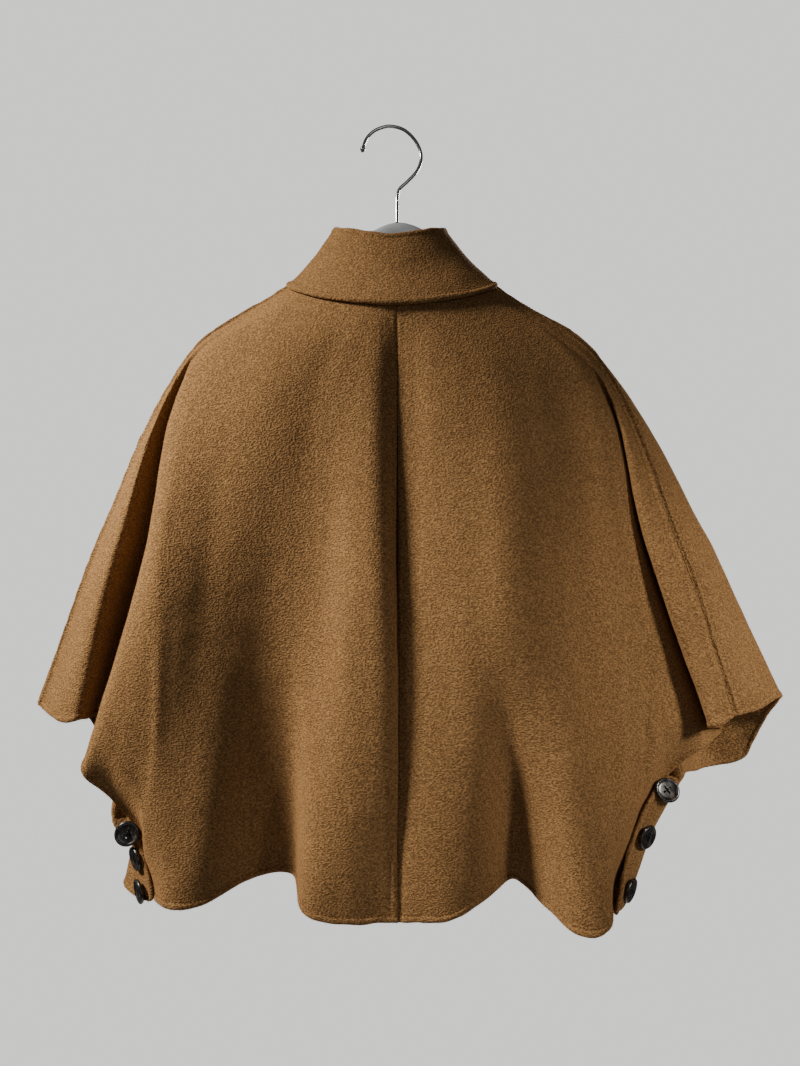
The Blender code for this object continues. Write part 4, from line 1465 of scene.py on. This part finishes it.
# %% One stitch and one hair
STITCH_SIDES = 6
# Place along a stitch, its radius there and its height above the cloth
STITCH_SECTIONS = [(-1.0, 0.10, -0.25), (-0.6, 0.26, 0.05), (0.0, 0.32, 0.16),
                   (0.6, 0.26, 0.05), (1.0, 0.10, -0.25)]
# A thin curved blade, 1.5 mm long at a size of 1, its root in the cloth
HAIR_POINTS = [(-0.07, 0, -0.2), (0.07, 0, -0.2), (-0.05, 0.16, 0.6), (0.05, 0.16, 0.6),
               (0.0, 0.55, 1.3)]
HAIR_FACES = [(0, 1, 3, 2), (2, 3, 4)]


def seed_object(name, points, corners):
    """A small mesh, in millimetres, that Geometry Nodes copy."""
    mesh = bpy.data.meshes.new(name)
    mesh.from_pydata([[c * MM for c in point] for point in points], [], corners)
    return link(bpy.data.objects.new(name, mesh))


def stitch_seed():
    """One short stitch along X, fat in its middle, its ends in the cloth."""
    points = []
    for x, radius, height in STITCH_SECTIONS:
        for k in range(STITCH_SIDES):
            turn = 2 * math.pi * k / STITCH_SIDES
            points.append((x, radius * math.cos(turn), height + radius * math.sin(turn)))
    corners = []
    for start in range(0, len(points) - STITCH_SIDES, STITCH_SIDES):
        for k in range(STITCH_SIDES):
            a, b = start + k, start + (k + 1) % STITCH_SIDES
            corners.append((a, b, b + STITCH_SIDES, a + STITCH_SIDES))
    corners.append(tuple(reversed(range(STITCH_SIDES))))
    corners.append(tuple(range(len(points) - STITCH_SIDES, len(points))))
    return seed_object("stitch_seed", points, corners)


stitch = stitch_seed()
single_hair = seed_object("hair_seed", HAIR_POINTS, HAIR_FACES)
print("a stitch has", len(stitch.data.polygons), "faces, a hair",
      len(single_hair.data.polygons))

# %% A group of nodes, from its inputs to real geometry
def start_group(name, sockets):
    """An empty group with its inputs, as (label, kind, default), and its entry."""
    group = bpy.data.node_groups.new(name, "GeometryNodeTree")
    for label, kind, default in sockets:
        item = group.interface.new_socket(label, in_out="INPUT", socket_type=kind)
        if default is not None:
            item.default_value = default
    group.interface.new_socket("Geometry", in_out="OUTPUT",
                               socket_type="NodeSocketGeometry")
    return group, add_node(group, "NodeGroupInput").outputs


def end_group(group, copies, entry):
    """Makes the copies real, gives them their material and ends the group."""
    real = add_node(group, "GeometryNodeRealizeInstances", {"Geometry": copies.outputs[0]})
    painted = add_node(group, "GeometryNodeSetMaterial",
                       {"Geometry": real.outputs[0], "Material": entry["Material"]})
    add_node(group, "NodeGroupOutput", {"Geometry": painted.outputs[0]})
    return group


print("a group ends by making its copies real")

# %% Stitches along a line
PITCH = 3.4
LEAST_LEAN = 0.15
MOST_LEAN = 0.55


def stitch_group():
    """Stitches at an even pitch along a line of points."""
    group, entry = start_group("Stitches along a line", [
        ("Geometry", "NodeSocketGeometry", None), ("Stitch", "NodeSocketObject", None),
        ("Pitch", "NodeSocketFloat", PITCH * MM),
        ("Most lean", "NodeSocketFloat", MOST_LEAN),
        ("Seed", "NodeSocketInt", 3), ("Material", "NodeSocketMaterial", None)])
    line = add_node(group, "GeometryNodeMeshToCurve", {"Mesh": entry["Geometry"]})
    spots = add_node(group, "GeometryNodeCurveToPoints",
                     {"Curve": line.outputs[0], "Length": entry["Pitch"]}, mode="LENGTH")
    normal = add_node(group, "GeometryNodeInputNamedAttribute", {"Name": "face_out"},
                      data_type="FLOAT_VECTOR")
    upright = add_node(group, "FunctionNodeAlignRotationToVector",
                       {"Vector": normal.outputs["Attribute"]}, axis="Z")
    along = add_node(group, "FunctionNodeAlignRotationToVector",
                     {"Rotation": upright.outputs[0], "Vector": spots.outputs["Tangent"]},
                     axis="X", pivot_axis="Z")
    lean = add_node(group, "FunctionNodeRandomValue",
                    {2: LEAST_LEAN, 3: entry["Most lean"], "Seed": entry["Seed"]},
                    data_type="FLOAT")
    turn = add_node(group, "FunctionNodeAxisAngleToRotation",
                    {"Axis": (0, 0, 1), "Angle": lean.outputs[1]})
    turned = add_node(group, "FunctionNodeRotateRotation",
                      {"Rotation": along.outputs[0], "Rotate By": turn.outputs[0]},
                      rotation_space="LOCAL")
    shape = add_node(group, "GeometryNodeObjectInfo", {"Object": entry["Stitch"]})
    copies = add_node(group, "GeometryNodeInstanceOnPoints",
                      {"Points": spots.outputs["Points"],
                       "Instance": shape.outputs["Geometry"],
                       "Rotation": turned.outputs[0]})
    return end_group(group, copies, entry)


stitching = stitch_group()
print("group:", stitching.name)

# %% Loose hairs over faces
MOST_SPIN = 2.6


def nap_group():
    """Hairs scattered over faces, turned to random sides, of random sizes."""
    group, entry = start_group("Loose hairs", [
        ("Geometry", "NodeSocketGeometry", None), ("Hair", "NodeSocketObject", None),
        ("Hairs per m2", "NodeSocketFloat", 60000.0), ("Longest", "NodeSocketFloat", 1.25),
        ("Shortest", "NodeSocketFloat", 0.5), ("Seed", "NodeSocketInt", 5),
        ("Material", "NodeSocketMaterial", None)])
    spots = add_node(group, "GeometryNodeDistributePointsOnFaces",
                     {"Mesh": entry["Geometry"], "Density": entry["Hairs per m2"],
                      "Seed": entry["Seed"]})
    spin = add_node(group, "FunctionNodeRandomValue",
                    {2: -MOST_SPIN, 3: MOST_SPIN, "Seed": entry["Seed"]}, data_type="FLOAT")
    turn = add_node(group, "FunctionNodeAxisAngleToRotation",
                    {"Axis": (0, 0, 1), "Angle": spin.outputs[1]})
    turned = add_node(group, "FunctionNodeRotateRotation",
                      {"Rotation": spots.outputs["Rotation"], "Rotate By": turn.outputs[0]},
                      rotation_space="LOCAL")
    size = add_node(group, "FunctionNodeRandomValue",
                    {2: entry["Shortest"], 3: entry["Longest"], "Seed": entry["Seed"]},
                    data_type="FLOAT")
    shape = add_node(group, "GeometryNodeObjectInfo", {"Object": entry["Hair"]})
    copies = add_node(group, "GeometryNodeInstanceOnPoints",
                      {"Points": spots.outputs["Points"],
                       "Instance": shape.outputs["Geometry"],
                       "Rotation": turned.outputs[0], "Scale": size.outputs[1]})
    return end_group(group, copies, entry)


napping = nap_group()
print("group:", napping.name)

# %% [markdown]
# ## Where they grow
# Stitches need a line in each groove that knows which way the cloth faces,
# and hairs need faces. So a line is taken from the fine lines of a piece, the
# nap gets the piece's outer face alone, and the fuzz gets a narrow band on
# both sides of its free edges. All are guides, removed once grown.

# %% Lines for the stitches
OVERARM_STITCHES = 7.6


def nearest(distance, wanted):
    """Number of the line whose mean distance from an edge is nearest to a place."""
    return int(np.argmin(np.abs(distance - wanted)))


def edge_lines(name):
    """Lines of (points, outward) in the groove of a piece's felled edges."""
    outer = faces[name]
    if name == "collar":
        column = nearest(up.mean(axis=0), GROOVE_PLACE)
        return [(outer[:, column], collar_out_side[:, column])]
    sheet = sheets[name]
    column = nearest(sheet.to_hem.mean(axis=0), GROOVE_PLACE)
    lines = [(outer[:, column], sheet.out[:, column])]
    rows = [nearest(sheet.to_last.mean(axis=1), OVERARM_STITCHES)]
    if name.startswith("front"):
        rows.insert(0, nearest(sheet.from_first.mean(axis=1), GROOVE_PLACE))
    return lines + [(outer[row], sheet.out[row]) for row in rows]


def line_object(name):
    """The stitch lines of a piece as edges, with the way its face looks."""
    points, edges, outs = [], [], []
    for line, out in edge_lines(name):
        start = len(points)
        points.extend((line * MM).tolist())
        outs.extend(out.tolist())
        edges.extend((start + k, start + k + 1) for k in range(len(line) - 1))
    mesh = bpy.data.meshes.new("line_" + name)
    mesh.from_pydata(points, edges, [])
    attribute = mesh.attributes.new("face_out", "FLOAT_VECTOR", "POINT")
    attribute.data.foreach_set("vector", np.array(outs, np.float32).ravel())
    return link(bpy.data.objects.new("line_" + name, mesh))


print("stitch lines:", sum(len(edge_lines(name)) for name in faces))

# %% Bands and faces for the hairs
EDGE_FUZZ = 2.6


def rim_object(name):
    """The rim of a piece and the band beside it, for the edge's fuzz to grow on."""
    mesh = pieces[name].data.copy()
    mesh.name = "rim_" + name
    near = free_edge[name].ravel() < EDGE_FUZZ
    near = np.concatenate([near, near])
    work = bmesh.new()
    work.from_mesh(mesh)
    work.verts.ensure_lookup_table()
    spare = [vert for vert, kept in zip(work.verts, near) if not kept]
    bmesh.ops.delete(work, geom=spare, context="VERTS")
    work.to_mesh(mesh)
    work.free()
    mesh.materials.clear()
    return link(bpy.data.objects.new("rim_" + name, mesh))


def face_object(name):
    """A piece's outer face alone, for the nap to grow on."""
    outer = faces[name]
    index, quads = grid_quads(*outer.shape[:2])
    mesh = bpy.data.meshes.new("face_" + name)
    mesh.from_pydata((outer.reshape(-1, 3) * MM).tolist(), [], quads.tolist())
    mesh.update()
    mine = np.array(mesh.polygons[len(mesh.polygons) // 2].normal)
    out = collar_out_side if name == "collar" else sheets[name].out
    if mine @ out[index.shape[0] // 2, index.shape[1] // 2] < 0:
        mesh.flip_normals()
    return link(bpy.data.objects.new("face_" + name, mesh))


print("fuzz grows within", EDGE_FUZZ, "mm of a cut edge")

# %% Grow them
STITCH_SEED = 3
NAP_SEED = 50
# Label, carrier, hairs on a square metre and the size of the longest
NAPS = [("nap_", face_object, 60000.0, 1.25), ("fuzz_", rim_object, 420000.0, 1.7)]


def grow(name, carrier, group, values):
    """The real mesh that a group grows on a carrier, as a piece of its own."""
    modifier = carrier.modifiers.new(name, "NODES")
    modifier.node_group = group
    for item in group.interface.items_tree:
        if item.in_out == "INPUT" and item.name in values:
            modifier[item.identifier] = values[item.name]
    bpy.context.view_layer.update()
    graph = bpy.context.evaluated_depsgraph_get()
    mesh = bpy.data.meshes.new_from_object(carrier.evaluated_get(graph))
    bpy.data.objects.remove(carrier)
    mesh.name = name
    piece = add_piece(name, mesh)
    print(name, len(mesh.polygons), "faces")
    return piece


with_cloth = {}
for number, name in enumerate(faces):
    with_cloth[name] = [grow("stitches_" + name, line_object(name), stitching,
                             {"Stitch": stitch, "Seed": STITCH_SEED + number,
                              "Material": thread})]
    for label, carrier, density, longest in NAPS:
        with_cloth[name].append(grow(label + name, carrier(name), napping,
                                     {"Hair": single_hair, "Seed": NAP_SEED + number,
                                      "Material": hair, "Hairs per m2": density,
                                      "Longest": longest}))
for seed in (stitch, single_hair):
    bpy.data.objects.remove(seed)
print("grown pieces:", sum(map(len, with_cloth.values())))

# %% [markdown]
# ## The cut sizes
# Each piece of cloth is listed with the flat size it was cut to before it was
# sewn and hung, its area and what it rests on, and its solid is hidden. A piece
# could be laid flat by eye. These come from flattening its own surface with the
# least stretch, so the area is that of the cloth in the folds. Widths and
# lengths are in metres.

Cut = namedtuple("Cut", "flat area rests_on")
CUTS = {
    "back_left": Cut((0.580, 0.670), 0.253, ["hanger_body"]),
    "back_right": Cut((0.485, 0.670), 0.217, ["hanger_body"]),
    "front_left": Cut((0.505, 0.670), 0.246, ["hanger_body"]),
    "front_right": Cut((0.575, 0.705), 0.274, ["hanger_body"]),
    "collar": Cut((0.530, 0.145), 0.045, ["back_left", "front_left"]),
}
for name, cut in CUTS.items():
    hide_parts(name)
print("cut cloth:", round(sum(cut.area for cut in CUTS.values()), 2), "square metres")

# %% [markdown]
# ## Floor
# A pale matt floor lies well below the hem, so the cape hangs free over it. It
# is painted board: rough, even and without shine. It glows a little itself,
# because the narrow lamps leave most of it in the dark.

# %% Floor
FLOOR_RADIUS = 0.8
FLOOR_Z = -1.6
FLOOR_SIDES = 96
FLOOR_COLOUR = colour("d6d5d2")
FLOOR_GLOW = 0.4


def make_floor_paint():
    material, tree, surface, _ = new_material("Pale matt floor")
    shader = add_node(tree, "ShaderNodeBsdfPrincipled",
                      {"Base Color": FLOOR_COLOUR, "Roughness": 0.8,
                       "Emission Color": FLOOR_COLOUR, "Emission Strength": FLOOR_GLOW})
    tree.links.new(shader.outputs[0], surface)
    return material


floor_mesh = bpy.data.meshes.new("floor")
floor_work = bmesh.new()
bmesh.ops.create_circle(floor_work, cap_ends=True, segments=FLOOR_SIDES,
                        radius=FLOOR_RADIUS)
floor_work.to_mesh(floor_mesh)
floor_work.free()
floor = link(bpy.data.objects.new("floor", floor_mesh))
floor.location = (0, 0, FLOOR_Z)
floor.data.materials.append(make_floor_paint())
print("floor", FLOOR_RADIUS * 2, "m across")

# %% [markdown]
# ## Light
# In the photo a lamp high at the left rakes over the folds, and a weaker one
# comes from the right. Even light would hide both folds and nap. So two
# narrow lamps do the same here, one more lights the far side, which other
# views show, and a weak broad one fills from the camera. The camera sees a
# pale room, but the room itself lights little, so deep folds stay dark.

# %% Room
SEEN_STRENGTH = 1.62
LIT_STRENGTH = 0.10
world = bpy.data.worlds.new("Pale room")
bpy.context.scene.world = world
world.use_nodes = True
room = world.node_tree
room.nodes.clear()
seen = add_node(room, "ShaderNodeBackground",
                {"Color": colour("d3d3d1"), "Strength": SEEN_STRENGTH})
lit = add_node(room, "ShaderNodeBackground",
               {"Color": colour("c6c6c3"), "Strength": LIT_STRENGTH})
ray = add_node(room, "ShaderNodeLightPath")
mix = add_node(room, "ShaderNodeMixShader",
               {0: ray.outputs["Is Camera Ray"], 1: lit.outputs[0], 2: seen.outputs[0]})
add_node(room, "ShaderNodeOutputWorld", {"Surface": mix.outputs[0]})
print("room nodes:", len(room.nodes))

# %% Lamps
Lamp = namedtuple("Lamp", "name place aim size spread power code")
LAMPS = [
    Lamp("Lamp at the left", (-1.20, -0.44, 0.42), (0.0, 0.0, -0.66),
         0.35, 62, 7.0, "fff8ee"),
    Lamp("Lamp at the right", (1.15, -0.95, 0.10), (0.38, 0.0, -0.58),
         0.30, 30, 0.9, "fff8ee"),
    Lamp("Lamp for the far side", (0.9, 1.5, 0.3), (0.0, 0.0, -0.55),
         0.6, 80, 9.0, "fffaf2"),
    Lamp("Fill from the camera", (0.3, -1.9, -0.2), (0.0, 0.0, -0.5),
         1.2, 120, 1.5, "f6f7ff"),
]
for lamp in LAMPS:
    data = bpy.data.lights.new(lamp.name, "AREA")
    data.shape = "DISK"
    data.size = lamp.size
    data.spread = math.radians(lamp.spread)
    data.energy = lamp.power
    data.color = colour(lamp.code)[:3]
    light = link(bpy.data.objects.new(lamp.name, data))
    light.location = lamp.place
    way = Vector(lamp.aim) - Vector(lamp.place)
    light.rotation_euler = way.to_track_quat("-Z", "Y").to_euler()
print("lamps:", len(LAMPS))
